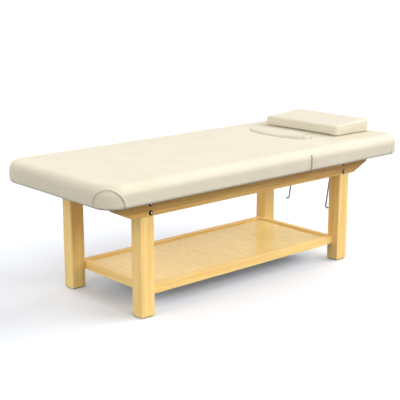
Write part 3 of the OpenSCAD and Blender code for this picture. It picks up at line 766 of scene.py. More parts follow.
@dataclass(frozen=True)
class Stuffing:
    """How a closed cushion is evened, swollen by a cloth simulation and smoothed."""

    cell: float
    pressure: float
    cap: float
    steps: int = 20
    stiff: float = 40.0
    shear: float = 20.0
    bend: float = 2.0
    weight: float = 0.25

    def even(self, made: Item) -> None:
        """Gives the cushion even faces.

        Args:
            made: the cushion
        """
        mesh = made.modifiers.new("even", "REMESH")
        mesh.mode = "VOXEL"
        mesh.voxel_size = self.cell
        baked(made)

    def fill(self, made: Item) -> None:
        """Swells the cushion and subdivides it once.

        Args:
            made: the cushion
        """
        self._swell(made)
        split = made.modifiers.new("split", "SUBSURF")
        split.levels = split.render_levels = 1
        baked(made)

    def _swell(self, made: Item) -> None:
        """Runs the simulation and applies it, with no point moved further than the cap.

        Args:
            made: the cushion
        """
        scene = bpy.context.scene
        cloth = made.modifiers.new("swell", "CLOTH")
        feel = cloth.settings
        feel.quality = 6
        feel.mass = self.weight
        feel.tension_stiffness = feel.compression_stiffness = self.stiff
        feel.shear_stiffness = self.shear
        feel.bending_stiffness = self.bend
        feel.use_pressure = True
        feel.uniform_pressure_force = self.pressure
        feel.effector_weights.gravity = 0.0
        cloth.point_cache.frame_start = 1
        cloth.point_cache.frame_end = self.steps
        for step in range(1, self.steps + 1):
            scene.frame_set(step)
        swollen = made.evaluated_get(bpy.context.evaluated_depsgraph_get()).data
        for vertex, new in zip(made.data.vertices, [v.co.copy() for v in swollen.vertices]):
            move = new - vertex.co
            if move.length > self.cap:
                move *= self.cap / move.length
            vertex.co += move
        made.modifiers.remove(cloth)
        scene.frame_set(1)


# Padded top


@dataclass
class PaddedTop:
    """The foam and its one cover over both boards, with the welts of its corners and its staples."""

    length: float = 1.900
    width: float = 0.812
    top: float = 0.640
    deck: float = 0.540
    board_top: float = 0.558
    corner: float = 0.094
    roll: float = 0.048
    hem: float = 0.016
    crown: float = 0.004
    crown_reach: float = 0.16
    skin: float = 0.0008
    lift: float = 0.0002
    draw: float = 0.003
    pitch: float = 0.021
    fold_x: float = 0.246
    fold_reach: float = 0.052
    fold_clear: float = 0.068
    fold_arch: Swell = Swell(0.005, 0.03)
    fold_tuck: Swell = Swell(0.8, 0.035)
    fold_lines: tuple[float, ...] = tuple(
        mm / 1000 for mm in (1.7, 3.3, 5.3, 7.5, 10, 12.8, 15, 17.2, 20, 23, 25.5, 28, 31, 36, 43, 51, 60)
    )
    slit_top: float = 0.613
    slit_depth: float = 0.010
    slit_half: Pair = (0.0033, 0.0053)
    slit_lip: Swell = Swell(0.0016, 0.003, 0.0085)
    slit_lean: Swell = Swell(1.0, 0.03)
    pucker: Swell = Swell(0.0022, 0.006)
    pucker_band: Swell = Swell(1.0, 0.004, 0.007)
    stitches: Pair = (0.0150, 0.0255)
    stitch_dent: Swell = Swell(0.0008, 0.0018)
    stitch_line: Swell = Swell(0.26, 0.0012)
    # painted shade along the hem: its band, and its strength on the sides and on the ends
    hem_shade_band: Swell = Swell(1.0, 0.003, 0.003)
    hem_shade: Pair = (0.12, 0.43)
    hole_x: float = 0.452
    hole_half: Pair = (0.0826, 0.2006)
    hole_frame: Pair = (0.118, 0.238)
    lip: float = 0.006
    welt: float = 0.0052
    welt_sink: float = 0.0016
    welt_steps: int = 40
    arch_foot: float = 0.545
    arch_rise: float = 0.082
    arch_shift: float = 0.0065
    patch_depth: float = 0.078
    patch_sink: float = 0.0010
    patch_groove: Swell = Swell(0.0014, 0.003, 0.0072)
    # darkness of the seam line and of the painted shade in the groove inside the welt
    patch_seam_shade: Swell = Swell(0.66, 0.0013, 0.0070)
    pleat: float = 0.0005
    pleats: int = 21
    inner: float = 0.0117
    margin: float = 0.042
    staple: Point = (0.010, 0.0012, 0.0007)
    staple_inset: float = 0.030
    staple_pitch: float = 0.062
    staple_clear: float = 0.09

    @property
    def reach(self) -> Pair:
        """The places of the corners' centres."""
        return self.length / 2 - self.corner, self.width / 2 - self.corner

    def stations(self, half: float, fold: bool) -> list[float]:
        """Places of the grid's lines from edge to edge, close together in the roll and at the fold.

        Args:
            half: half the length or width
            fold: whether the fold's lines are among them

        Returns:
            the places in order
        """
        near = [self.roll * (1 - math.cos(math.radians(5 * k))) for k in range(19)]
        near += [self.roll + (self.corner - self.roll) * k / 8 for k in range(1, 9)]
        near += [] if fold else [self.corner + 0.0022 * k for k in range(1, 8)]
        span = 2 * (half - self.corner)
        count = round(span / self.pitch)
        inside = [-half + self.corner + span * k / count for k in range(1, count)]
        if fold:
            inside = [x for x in inside if abs(x - self.fold_x) > self.fold_clear]
            inside += [self.fold_x] + [self.fold_x + side * line for line in self.fold_lines for side in (-1, 1)]
        return sorted([-half + d for d in near] + inside + [half - d for d in near])

    def plan(self, x: float, y: float, inset: float = 0.0) -> Pair:
        """Bends a place of the square grid onto the outline with its round corners.

        Args:
            x: the place along the table
            y: the place across it
            inset: how far the outline is drawn in

        Returns:
            the bent place
        """
        hx, hy = self.reach
        a, b = (abs(x) - hx) / self.corner, (abs(y) - hy) / self.corner
        r = self.corner - inset
        if a > 0 and b > 0:
            a, b = a * math.sqrt(1 - b * b / 2), b * math.sqrt(1 - a * a / 2)
        px = abs(x) if a <= 0 else hx + a * r
        py = abs(y) if b <= 0 else hy + b * r
        return math.copysign(px, x), math.copysign(py, y)

    def edge_gap(self, x: float, y: float) -> float:
        """The distance of a bent place from the outline.

        Args:
            x: the place along the table
            y: the place across it

        Returns:
            the distance, inwards
        """
        hx, hy = self.reach
        ax, ay = abs(x) - hx, abs(y) - hy
        return self.corner - (math.hypot(ax, ay) if ax > 0 and ay > 0 else max(ax, ay))

    def outward(self, x: float, y: float) -> Vector:
        """The outline's level outward direction beside a bent place.

        Args:
            x: the place along the table
            y: the place across it

        Returns:
            the direction
        """
        hx, hy = self.reach
        ax, ay = max(abs(x) - hx, 0.0), max(abs(y) - hy, 0.0)
        if ax == 0 and ay == 0:
            ax, ay = (1.0, 0.0) if abs(x) - hx > abs(y) - hy else (0.0, 1.0)
        return Vector((math.copysign(ax, x), math.copysign(ay, y), 0.0)).normalized()

    def height(self, x: float, y: float) -> float:
        """The height of the cover at a bent place.

        Args:
            x: the place along the table
            y: the place across it

        Returns:
            its height above the floor
        """
        fall = max(self.roll - self.edge_gap(x, y), 0.0)
        z = self.top - self.roll + math.sqrt(max(self.roll**2 - fall**2, 0.0))
        along = smooth(self.length / 2 - abs(x), self.roll, self.roll + self.crown_reach)
        across = smooth(self.width / 2 - abs(y), self.roll, self.roll + self.crown_reach)
        return z + self.crown * along * across

    def bed(self, x: float, share: float = 1.0) -> float:
        """The height of the foam's underside, a little arched over the fold by a share of the full arch."""
        return self.board_top + self.lift + self.fold_arch.at(x - self.fold_x) * share

    def arch(self, x: float, y: float, z: float) -> Pair:
        """Where a place lies in the half-moon of its corner.

        Args:
            x: the place along the table
            y: the place across it
            z: its height

        Returns:
            its share of the half-moon's radius, and the angle round its foot
        """
        hx, hy = self.reach
        ax, ay = abs(x) - hx, abs(y) - hy
        if ax <= 0 and ay <= 0:
            return 9.0, 0.0
        quarter = self.corner * math.pi / 4
        run = self.corner * math.atan2(max(ay, 0.0), max(ax, 0.0)) - quarter + min(ay, 0.0) - min(ax, 0.0)
        side = (run + self.arch_shift) / (quarter + self.arch_shift)
        rise = (z - self.arch_foot) / self.arch_rise
        return math.hypot(side, rise), math.atan2(rise, side)

    def _beside_slit(self, x: float, z: float) -> Point:
        """The slit of the side band, with the swell of its edges, the pucker over it, the stitches beside it and
        painted shade in it.

        Args:
            x: the place along the table
            z: its height

        Returns:
            how far the place is pushed out, how dark its stitches and the painted shade in the slit are, and how far
            it slides along the table
        """
        aside = abs(x - self.fold_x)
        low = 1 - smooth(z, self.slit_top - 0.006, self.slit_top + 0.004)
        # painted shade inside the slit, darkest in the gap
        seam = (1 - smooth(aside, *self.slit_half)) * low
        push = self.slit_lip.at(aside) * low - self.slit_depth * seam
        push += self.pucker.at(aside) * self.pucker_band.at(z - self.slit_top)
        calm = 1 - smooth(z, self.slit_top - 0.01, self.slit_top + 0.02)
        for stitch in self.stitches:
            push -= self.stitch_dent.at(aside - stitch) * calm
            seam += self.stitch_line.at(aside - stitch) * calm
        lean = 1 - smooth(z, self.slit_top, self.slit_top + 0.022)
        return push, seam, (0.001 + 0.10 * (z - self.deck)) * self.slit_lean.at(aside) * lean

    def _on_patch(self, share: float, angle: float) -> Point:
        """The sunk seam, the painted shade in its groove and the pleats of a half-moon patch.

        Args:
            share: the place's share of the half-moon's radius
            angle: its angle round the half-moon's foot

        Returns:
            how far the place is pushed out, how dark its seam and the painted shade in its groove are, and how far it
            belongs to the patch
        """
        depth = (1 - share) * self.patch_depth
        patch = smooth(depth, 0.003, 0.006)
        fan = math.cos(angle * self.pleats) * smooth(share, 0.25, 0.6) * (1 - smooth(share, 0.80, 0.93))
        push = self.pleat * fan - self.patch_groove.at(depth) - self.patch_sink * patch
        return push, self.patch_seam_shade.at(depth), patch

    def settle(self, vertex: Vertex, place: Vector, hold: float, marks: tuple) -> None:
        """Puts a vertex of the cover in its place, with the draw, the slit, the puckers and the pleats.

        Args:
            vertex: the vertex
            place: where it would be on a plain form
            hold: how far it follows the outer side, from 0 to 1
            marks: the layers for seams with painted shade, and for patches
        """
        x, y, z = place
        hx, hy = self.reach
        out = self.outward(x, y)
        push = seam = patch = slide = 0.0
        if abs(out.y) > 0.99:
            push, seam, slide = self._beside_slit(x, z)
            push -= self.draw * math.cos(math.pi / 2 * min(1.0, x / hx))
        elif abs(out.x) > 0.99:
            push -= self.draw * 0.6 * math.cos(math.pi / 2 * min(1.0, y / hy))
        share, angle = self.arch(x, y, z)
        if share < 1.2 and z > self.deck + 0.001:
            sink, seam_and_groove_shade, patch = self._on_patch(share, angle)
            push, seam = push + sink, seam + seam_and_groove_shade
        push += 0.0006 * ripple(place, 0.09, 2.0)
        rise = 0.0004 * ripple(place, 0.16, 7.0) if z > self.top - 0.02 else 0.0
        vertex.co = Vector((x + slide * hold, y, z + rise)) + out * push * hold
        vertex[marks[0]] = min(1.0, seam)
        vertex[marks[1]] = patch

    def rings(self) -> list[Point]:
        """The cover's rings from the roll's foot round the hem to the board's top.

        Returns:
            the inset, the height and the hold of each
        """
        low = self.deck - self.skin
        back = low + 0.0007
        foot = low + self.hem
        start = self.top - self.roll
        found = [(0.0, start + (foot - start) * k / 10, 1.0) for k in range(1, 11)]
        for k in range(1, 8):
            turn = math.radians(90 * k / 7)
            found.append((self.hem * (1 - math.cos(turn)), foot - self.hem * math.sin(turn), 1 - k / 7))
        found += [((self.hem + self.margin) / 2, low, 0.0), (self.margin, low, 0.0), (self.margin, back, 0.0)]
        found += [(self.inner + 0.004, back, 0.0), (self.inner, back, 0.0)]
        return found + [(self.inner, self.deck + 0.009, 0.0), (self.inner, self.board_top + self.lift, 0.0)]

    def foam(self) -> Form:
        """The whole padded form with the face hole through it.

        Returns:
            one closed mesh
        """
        lines = (self.stations(self.length / 2, True), self.stations(self.width / 2, False))
        bm = bmesh.new()
        grid = bm.verts.layers.float_vector.new("grid")
        marks = (bm.verts.layers.float.new("seam"), bm.verts.layers.float.new("patch"))
        bmesh.ops.create_grid(bm, x_segments=len(lines[0]) - 1, y_segments=len(lines[1]) - 1, size=1)
        for v in bm.verts:
            x, y = (line[round((part + 1) / 2 * (len(line) - 1))] for part, line in zip(v.co, lines))
            v[grid] = v.co = (x, y, 0.0)
        self._open_hole(bm, grid)
        for v in bm.verts:
            x, y, kind = v[grid]
            if kind == 0:
                v.co.x, v.co.y = self.plan(x, y)
            v.co.z = self.height(v.co.x, v.co.y)
        copied = bmesh.ops.duplicate(bm, geom=list(bm.verts) + list(bm.edges) + list(bm.faces))["geom"]
        under = {g for g in copied if isinstance(g, Vertex)}
        sides = [e for e in bm.edges if e.is_boundary and e.verts[0] not in under]
        hole = [e for e in sides if e.verts[0][grid][2] > 0]
        rim = [e for e in sides if e.verts[0][grid][2] == 0]
        for v in bm.verts:
            if v in under:
                self._rest_on_board(v, grid)
            else:
                v[grid] = (v.co.x, v.co.y, v[grid][2])
                self.settle(v, v.co.copy(), 1 - smooth(self.edge_gap(v.co.x, v.co.y), 0.03, 0.11), marks)
        lofted(bm, rim, lambda v, ring: self._ring_place(v, ring, grid, marks), self.rings())
        lips = [math.radians(15 * k) for k in range(1, 7)] + [-0.6, -1.0]
        lofted(bm, hole, lambda v, turn: self._lip_place(v, turn, grid, marks), lips)
        bmesh.ops.remove_doubles(bm, verts=bm.verts, dist=2e-5)
        bmesh.ops.recalc_face_normals(bm, faces=bm.faces)
        return bm

    def _open_hole(self, bm: Form, grid: object) -> None:
        """Opens the face hole in the flat grid and joins an oval of the same count to it.

        Args:
            bm: the mesh
            grid: the layer of grid places, whose third value becomes the angle round the hole plus 10
        """
        fx, fy = self.hole_frame
        middles = {f: f.calc_center_median() for f in bm.faces}
        inside = [f for f, middle in middles.items() if abs(middle.x - self.hole_x) < fx and abs(middle.y) < fy]
        kept = set(inside)
        edge = [e for f in inside for e in f.edges if sum(g in kept for g in e.link_faces) == 1]
        bmesh.ops.delete(bm, geom=inside, context="FACES")
        ring = bmesh.ops.create_circle(bm, segments=len(edge), radius=0.1)["verts"]
        for v in ring:
            v.co.x += self.hole_x
            v[grid] = (0.0, 0.0, 1.0)
        loop = list({e for v in ring for e in v.link_edges})
        mates = {}
        for e in bmesh.ops.bridge_loops(bm, edges=edge + loop)["edges"]:
            outer, inner = sorted(e.verts, key=lambda v: v[grid][2])
            if inner[grid][2] > 0 and outer[grid][2] == 0:
                mates.setdefault(inner, outer)
        ax, ay = (half + self.lip for half in self.hole_half)
        for inner, outer in mates.items():
            turn = math.atan2(outer.co.y / fy, (outer.co.x - self.hole_x) / fx)
            inner.co = (self.hole_x + ax * math.cos(turn), ay * math.sin(turn), 0.0)
            inner[grid] = (inner.co.x, inner.co.y, turn + 10)

    def _rest_on_board(self, vertex: Vertex, grid: object) -> None:
        """Puts a vertex of the foam's underside on the boards.

        Args:
            vertex: the vertex
            grid: the layer of grid places
        """
        gx, gy, turn = vertex[grid]
        if turn > 0:
            ax, ay = self.hole_half
            x, y = self.hole_x + ax * math.cos(turn - 10), ay * math.sin(turn - 10)
        else:
            x, y = self.plan(gx, gy, self.inner)
        vertex.co = (x, y, self.bed(x, smooth(self.edge_gap(x, y), self.inner + 0.002, 0.05)))

    def _ring_place(self, vertex: Vertex, ring: Point, grid: object, marks: tuple) -> None:
        """Puts a vertex of one of the cover's rings in its place, with painted shade along the hem.

        Args:
            vertex: the vertex
            ring: inset, height and hold
            grid: the layer with its place on the outline
            marks: the layers for seams with painted shade, and for patches
        """
        inset, z, hold = ring
        x, y, _ = vertex[grid]
        out = self.outward(x, y)
        if inset > self.hem:
            inset = self.hem + (inset - self.hem) * (1 - self.fold_tuck.at(x - self.fold_x))
        if hold > 0:
            self.settle(vertex, Vector((x, y, z)), hold, marks)
            # painted shade where the cover turns under the board, darker on the ends
            dark = (self.hem_shade[0] + self.hem_shade[1] * abs(out.x)) * self.hem_shade_band.at(z - self.deck)
            vertex[marks[0]] = min(1.0, vertex[marks[0]] + dark)
        else:
            vertex.co = (x, y, z)
        vertex.co -= out * inset

    def _lip_place(self, vertex: Vertex, turn: float, grid: object, marks: tuple) -> None:
        """Puts a vertex of the face hole's rolled lip or wall in its place, with painted shade on it.

        Args:
            vertex: the vertex
            turn: the angle round the lip, or a negative share of the way down the wall
            grid: the layer whose third value is the angle round the hole plus 10
            marks: the layers for seams with painted shade, and for patches
        """
        # painted shade in the gap round the face plug, darker down the wall
        vertex[marks[0]] = 0.5 if turn < 0 or turn > 0.5 else 0.25
        around = vertex[grid][2] - 10
        ax, ay = self.hole_half
        out = self.lip * (1 - math.sin(turn)) if turn > 0 else 0.0
        x, y = self.hole_x + (ax + out) * math.cos(around), (ay + out) * math.sin(around)
        z = self.height(x, y) - self.lip
        z += self.lip * math.cos(turn) if turn > 0 else (self.bed(x) - z) * -turn
        vertex.co = (x, y, z)

    def welt_route(self, end: int, side: int) -> list[Vector]:
        """The route of the welt over the half-moon of one corner.

        Args:
            end: 1 at the head and -1 at the foot
            side: 1 on the far side and -1 on the near one

        Returns:
            its points, on the cover's surface
        """
        hx, hy = self.reach
        quarter = self.corner * math.pi / 4
        route = []
        for k in range(self.welt_steps + 1):
            u = math.radians(2 + 176 * k / self.welt_steps)
            z = self.arch_foot + self.arch_rise * math.sin(u)
            run = quarter - self.arch_shift - (quarter + self.arch_shift) * math.cos(u)
            turn = max(run, 0.0) / self.corner
            rise = max(z - (self.top - self.roll), 0.0) / self.roll
            r = self.corner - self.roll + (self.roll - self.welt_sink) * math.sqrt(max(1 - rise * rise, 0.0))
            fold_in = max(0.0, self.deck + self.hem - z)
            r -= self.hem - math.sqrt(max(self.hem**2 - fold_in**2, 0.0))
            x, y = hx + r * math.cos(turn), hy + r * math.sin(turn) + min(run, 0.0)
            route.append(Vector((end * x, side * y, z - self.welt_sink * rise)))
        return route

    def staples(self, end: int, start: float, stop: float) -> Form:
        """Staples through the cover's margin under a board.

        Args:
            end: 1 for the head board and -1 for the main one
            start: where the rows along its sides begin
            stop: where they end

        Returns:
            all of them in one mesh
        """
        bm = bmesh.new()
        hx, hy = self.length / 2 - self.staple_inset, self.width / 2 - self.staple_inset
        count = round((stop - start) / self.staple_pitch)
        rows = [start + (stop - start) * k / count for k in range(count + 1)]
        spots = [(x, side * hy, 0.0) for x in rows for side in (-1, 1)]
        spots += [(end * hx, self.reach[1] * (k / 5 - 1), math.pi / 2) for k in range(11)]
        for x, y, turn in spots:
            slant = turn + 0.25 * ripple((x, y, 0.0), 0.01)
            place = Matrix.Translation((x, y, self.deck - 0.0010)) @ Matrix.Rotation(slant, 4, "Z")
            crown = bmesh.ops.create_cube(bm, size=1.0, matrix=place @ Matrix.Diagonal((*self.staple, 1)))
            eased(bm, list({e for v in crown["verts"] for e in v.link_edges}), 0.00025, 1)
        return bm

    def build(self) -> list[Item]:
        """Makes the cover with its foam, the welts and the staples.

        Returns:
            the pieces
        """
        cover = piece("cover_and_foam", self.foam(), COVER, None)
        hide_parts("main_cushion", "fold_cushion", "head_cushion")
        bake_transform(cover)
        made = [cover]
        for end, word, part in ((-1, "foot", Part.BASE), (1, "head", Part.HEADREST)):
            for side, near in ((-1, "near"), (1, "far")):
                name = f"corner_welt_{word}_{near}"
                welt = tube(name, self.welt_route(end, side), self.welt)
                made.append(piece(name, welt, PIPING, part))
        hx, fold, clear = self.reach[0], self.fold_x, self.staple_clear
        rows = (("main", -1, -hx, fold - clear, Part.BASE), ("head", 1, fold + clear, hx, Part.HEADREST))
        for word, end, start, stop, part in rows:
            row = self.staples(end, start, stop)
            made.append(piece(f"staples_{word}", row, ZINC, part, False))
        return made


# Face plug


@dataclass
class FacePlug:
    """The oval padded plug that fills the face hole, standing a little proud."""

    x: float = 0.452
    half: Pair = (0.0817, 0.1997)
    foot: float = 0.5706
    rim: float = 0.6512
    roll: float = 0.008
    crown: float = 0.0024
    tip: float = 0.0045
    sides: int = 96
    folds: int = 34
    fold_height: float = 0.0018
    stuffing: Stuffing = Stuffing(cell=0.005, pressure=3.0, cap=0.003)

    def form(self) -> Form:
        """The pad before it is stuffed, lofted by extruding its rings.

        Returns:
            a closed oval mesh
        """
        bm = bmesh.new()
        layer = bm.verts.layers.float.new("turn")
        ring = bmesh.ops.create_circle(bm, segments=self.sides, radius=1.0)["verts"]
        tall = self.rim - self.roll - self.foot
        levels = [(0.0, 1.0, self.foot + tall * k / 7) for k in range(8)]
        for k in range(1, 7):
            turn = math.radians(15 * k)
            levels.append((self.roll * (1 - math.cos(turn)), 1.0, self.rim - self.roll * (1 - math.sin(turn))))
        levels += [(self.roll, s, self.rim + self.crown * (1 - s * s)) for s in (0.85, 0.7, 0.55, 0.4, 0.25, 0.1)]

        def place(v: Vertex, level: Point) -> None:
            """Puts a vertex on the oval of a level.

            Args:
                v: the vertex
                level: the oval's inset, its share of the full size and its height
            """
            inset, share, z = level
            ax, ay = ((half - inset) * share for half in self.half)
            v.co = (self.x + ax * math.cos(v[layer]), ay * math.sin(v[layer]), z)

        for v in ring:
            v[layer] = math.atan2(v.co.y, v.co.x)
            place(v, levels[0])
        bottom = list(bm.edges)
        for loop in (lofted(bm, bottom, place, levels[1:]), bottom):
            bmesh.ops.contextual_create(bm, geom=loop)
        bmesh.ops.triangulate(bm, faces=[f for f in bm.faces if len(f.verts) > 4])
        bmesh.ops.recalc_face_normals(bm, faces=bm.faces)
        return bm

    def gather(self, made: Item) -> None:
        """Keeps the swollen pad inside its hole and gathers the cover at its rim, most at the near end.

        Args:
            made: the pad
        """
        for v in made.data.vertices:
            dx, dy = v.co.x - self.x, v.co.y
            share = math.hypot(dx / self.half[0], dy / self.half[1])
            turn = math.atan2(dy / self.half[1], dx / self.half[0])
            if share > 1:
                v.co.x, v.co.y = self.x + dx / share, dy / share
            near = 0.35 + 0.65 * smooth(-dy, 0.02, 0.16)
            upper = smooth(v.co.z, self.rim - 0.016, self.rim - 0.004)
            rim = smooth(share, 0.70 - 0.25 * near, 0.93) * upper
            fold = math.cos(turn * self.folds + 2.4 * math.sin(turn * 5)) * self.fold_height
            z = min(v.co.z + (fold * near - 0.0003) * rim, self.rim + self.crown + 0.0012)
            v.co.z = max(z + self.tip * smooth(-dy, 0.02, 0.19) * upper, self.foot)

    def build(self) -> list[Item]:
        """Makes, stuffs and gathers the pad.

        Returns:
            the pad
        """
        pad = piece("face_plug_pad", self.form(), PLUG_COVER_SHADED, None)
        self.stuffing.even(pad)
        self.stuffing.fill(pad)
        self.gather(pad)
        dress(pad, PLUG_COVER_SHADED, Part.PLUG)
        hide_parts("plug_cushion")
        return [pad]


# Pillow


@dataclass
class HeadPillow:
    """The loose flat block pillow with its boxed side band."""

    bed: PaddedTop
    x: float = 0.734
    size: Point = (0.266, 0.496, 0.0585)
    foot: float = 0.6443
    corner: float = 0.017
    edge: float = 0.009
    waist: float = 0.0022
    crown: float = 0.0035
    wedge: float = 0.0085
    skew: float = 0.009
    seams: tuple[tuple[str, float, float, float], ...] = (
        ("upper", 0.0500, 0.0011, 0.0),
        # the last value is painted shade on the seam's foot side
        ("lower", 0.0035, 0.0015, 0.85),
    )
    seam_points: int = 240
    stuffing: Stuffing = Stuffing(cell=0.0045, pressure=2.5, cap=0.0015)

    def form(self) -> Form:
        """The block before it is stuffed.

        Returns:
            a closed mesh with round corners and eased edges
        """
        bm = bmesh.new()
        place = Matrix.Translation((self.x, 0.0, self.foot + self.size[2] / 2))
        bmesh.ops.create_cube(bm, size=1.0, matrix=place @ Matrix.Diagonal((*self.size, 1.0)))
        eased(bm, [e for e in bm.edges if abs(e.verts[0].co.z - e.verts[1].co.z) > 0.01], self.corner, 6)
        flat = [e for e in bm.edges if abs(e.verts[0].co.z - e.verts[1].co.z) < 1e-5 and e.calc_face_angle(0.0) > 0.5]
        eased(bm, flat, self.edge, 4)
        bmesh.ops.triangulate(bm, faces=[f for f in bm.faces if len(f.verts) > 4])
        return bm

    def hollow(self, made: Item) -> None:
        """Draws the sides in between the corners and crowns the top, as tight foam in a sewn cover does.

        Args:
            made: the pillow
        """
        length, width, thick = self.size
        for v in made.data.vertices:
            u, w = (v.co.x - self.x) / (length / 2), v.co.y / (width / 2)
            level = (v.co.z - self.foot) / thick
            lean = 0.55 + 0.45 * math.sin(math.pi * min(1.0, max(0.0, level)))
            lengthwise, crosswise = (math.cos(math.pi / 2 * min(1, abs(t))) * self.waist * lean for t in (w, u))
            v.co.x -= math.copysign(lengthwise, u) * smooth(abs(u), 0.6, 1)
            v.co.y -= math.copysign(crosswise, w) * smooth(abs(w), 0.75, 1)
            dome = (1 - min(1, u * u)) ** 0.6 * (1 - min(1, w**4)) ** 0.8
            v.co.z += self.crown * (dome - 1) * smooth(level, 0.7, 0.95)
            v.co.z += 0.0006 * ripple(tuple(v.co), 0.07, 4.0) * smooth(level, 0.5, 0.9)
            v.co.z += self.wedge * max(-1.0, min(1.0, u)) * smooth(level, 0.15, 0.85)
            v.co.x -= self.skew * max(-u, 0.0) * max(w, 0.0)

    def rest(self, made: Item) -> None:
        """Lets the underside lie on the crowned cover below it.

        Args:
            made: the pillow
        """
        for v in made.data.vertices:
            bed = self.bed.height(v.co.x, v.co.y) + 0.0004
            under = 1 - smooth(v.co.z - self.foot, 0.001, 0.012)
            v.co.z = max(v.co.z + (bed - self.foot) * under, bed)
        made.data.update()
        bpy.context.view_layer.update()

    def seam_route(self, made: Item, z: float) -> list[Vector]:
        """The route of a seam round the pillow, on its surface.

        Args:
            made: the pillow
            z: the seam's height

        Returns:
            its points
        """
        length, width, _ = self.size
        route = []
        for k in range(self.seam_points):
            turn = 2 * math.pi * k / self.seam_points
            c, s = math.cos(turn), math.sin(turn)
            power = 1 / (abs(c) ** 16 + abs(s) ** 16) ** (1 / 16)
            aim = Vector((self.x + length / 2 * power * c, width / 2 * power * s, z))
            found, spot, normal, _ = made.closest_point_on_mesh(aim)
            route.append(spot + normal * 0.0002 if found else aim)
        return route

    def build(self) -> list[Item]:
        """Makes and stuffs the pillow, and pipes the two seams of its side band, with painted shade on the lower
        one's foot side.

        Returns:
            the pieces
        """
        block = piece("head_pillow", self.form(), PILLOW_COVER, None)
        self.stuffing.even(block)
        self.hollow(block)
        self.stuffing.fill(block)
        self.rest(block)
        made = [block]
        foot_side = self.x - self.size[0] / 2
        for word, level, thick, shade in self.seams:
            name = f"pillow_seam_{word}"
            piping = tube(name, self.seam_route(block, self.foot + level), thick, True)
            seam = piping.verts.layers.float.new("seam")
            for v in piping.verts:
                # painted shade under the pillow's foot side
                v[seam] = shade * (1 - smooth(v.co.x, foot_side + 0.010, foot_side + 0.024))
            made.append(piece(name, piping, PIPING, Part.PILLOW))
        dress(block, PILLOW_COVER, Part.PILLOW)
        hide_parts("pillow")
        return made


# Wooden base


@dataclass
class WoodBase:
    """Legs, rails, cross rails, tray rails, battens and racks with eased edges, each grained along its length."""

    ease: float = 0.0014
    sharp: float = 40.0
    shortest: float = 0.012
    runs: tuple[tuple[Grain, tuple[str, ...]], ...] = (
        (Grain.UPRIGHT, ("leg_foot_near", "leg_foot_far", "leg_head_near", "leg_head_far")),
        (Grain.ALONG, ("rail_near", "rail_far", "tray_rail_near", "tray_rail_far", "rack_near", "rack_far")),
        (Grain.ACROSS, ("cross_rail_foot", "cross_rail_mid", "cross_rail_head", "tray_rail_foot", "tray_rail_head")),
        (Grain.ACROSS, ("tray_batten_foot", "tray_batten_head")),
    )
    # the long rails, painted darker as shade under the cover's overhang
    overhang_shaded_rails: tuple[str, ...] = ("rail_near", "rail_far")

    def copied(self, node: str) -> Form:
        """A copy of a CAD solid with its long outer edges eased.

        Args:
            node: the CAD node

        Returns:
            the copy
        """
        bm = bmesh.new()
        bm.from_mesh(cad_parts[node].data)
        bmesh.ops.remove_doubles(bm, verts=bm.verts, dist=1e-6)
        bmesh.ops.dissolve_limit(bm, angle_limit=math.radians(1), verts=bm.verts, edges=bm.edges)
        outer = [e for e in bm.edges if len(e.link_faces) == 2 and e.is_convex and e.calc_length() > self.shortest]
        eased(bm, [e for e in outer if e.calc_face_angle(0.0) > math.radians(self.sharp)], self.ease, 2, True)
        return bm

    def build(self) -> list[Item]:
        """Makes the eased pieces, with darker tones painted on the two long rails as the shade of the cover's
        overhang, and painted shade in their bolt recesses.

        Returns:
            the pieces
        """
        pieces = []
        seed = 0.0
        for grain, nodes in self.runs:
            for node in nodes:
                seed += 3.7
                wood = LacqueredWood(f"lacquered_{node}", grain=grain, seed=seed)
                if node in self.overhang_shaded_rails:
                    # these darker tones are painted shade from the cover's overhang, not a stain of the wood
                    stain = {"pale": (0.77, 0.48, 0.137), "deep": (0.59, 0.30, 0.071), "vein": (0.50, 0.25, 0.06)}
                    wood = replace(wood, paints_recess_shade=True, **stain)
                made = piece(f"eased_{node}", self.copied(node), wood, Part.BASE, False)
                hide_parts(node)
                pieces.append(made)
        return pieces


@dataclass
class CarriedNodes:
    """CAD nodes whose shape is right, which only get their finishes."""

    finishes: dict[str, Finish] = field(
        default_factory=lambda: {
            "foot_pads": RUBBER,
            "frame_dowels": LacqueredWood("dowel_wood_across", grain=Grain.ACROSS, seed=91.0),
            "tray_dowels": LacqueredWood("dowel_wood_tray", grain=Grain.ACROSS, seed=97.0),
            "rail_bolts": BRONZE,
            "tray_panel": VENEER,
            **dict.fromkeys(("main_board", "head_board", "plug_base"), PLYWOOD),
            "prop_wire": PROP_STEEL,
            **dict.fromkeys(("insert_nuts", "top_brackets", "bracket_screws"), ZINC),
            **dict.fromkeys(("hinge_leaves_fixed", "hinge_leaves_moving", "hinge_pins"), ZINC),
            **dict.fromkeys(("leaf_screws_fixed", "leaf_screws_moving", "rack_screws"), ZINC),
            **dict.fromkeys(("prop_clips", "clip_screws"), ZINC),
        }
    )

    def build(self) -> list[Item]:
        """Dresses each carried node.

        Returns:
            the nodes
        """
        for node, finish in self.finishes.items():
            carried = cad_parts[node]
            if not carried.material_slots:
                carried.data.materials.append(finish.material())
            for slot in carried.material_slots:
                slot.material = finish.material()
        return [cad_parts[node] for node in self.finishes]


# Studio


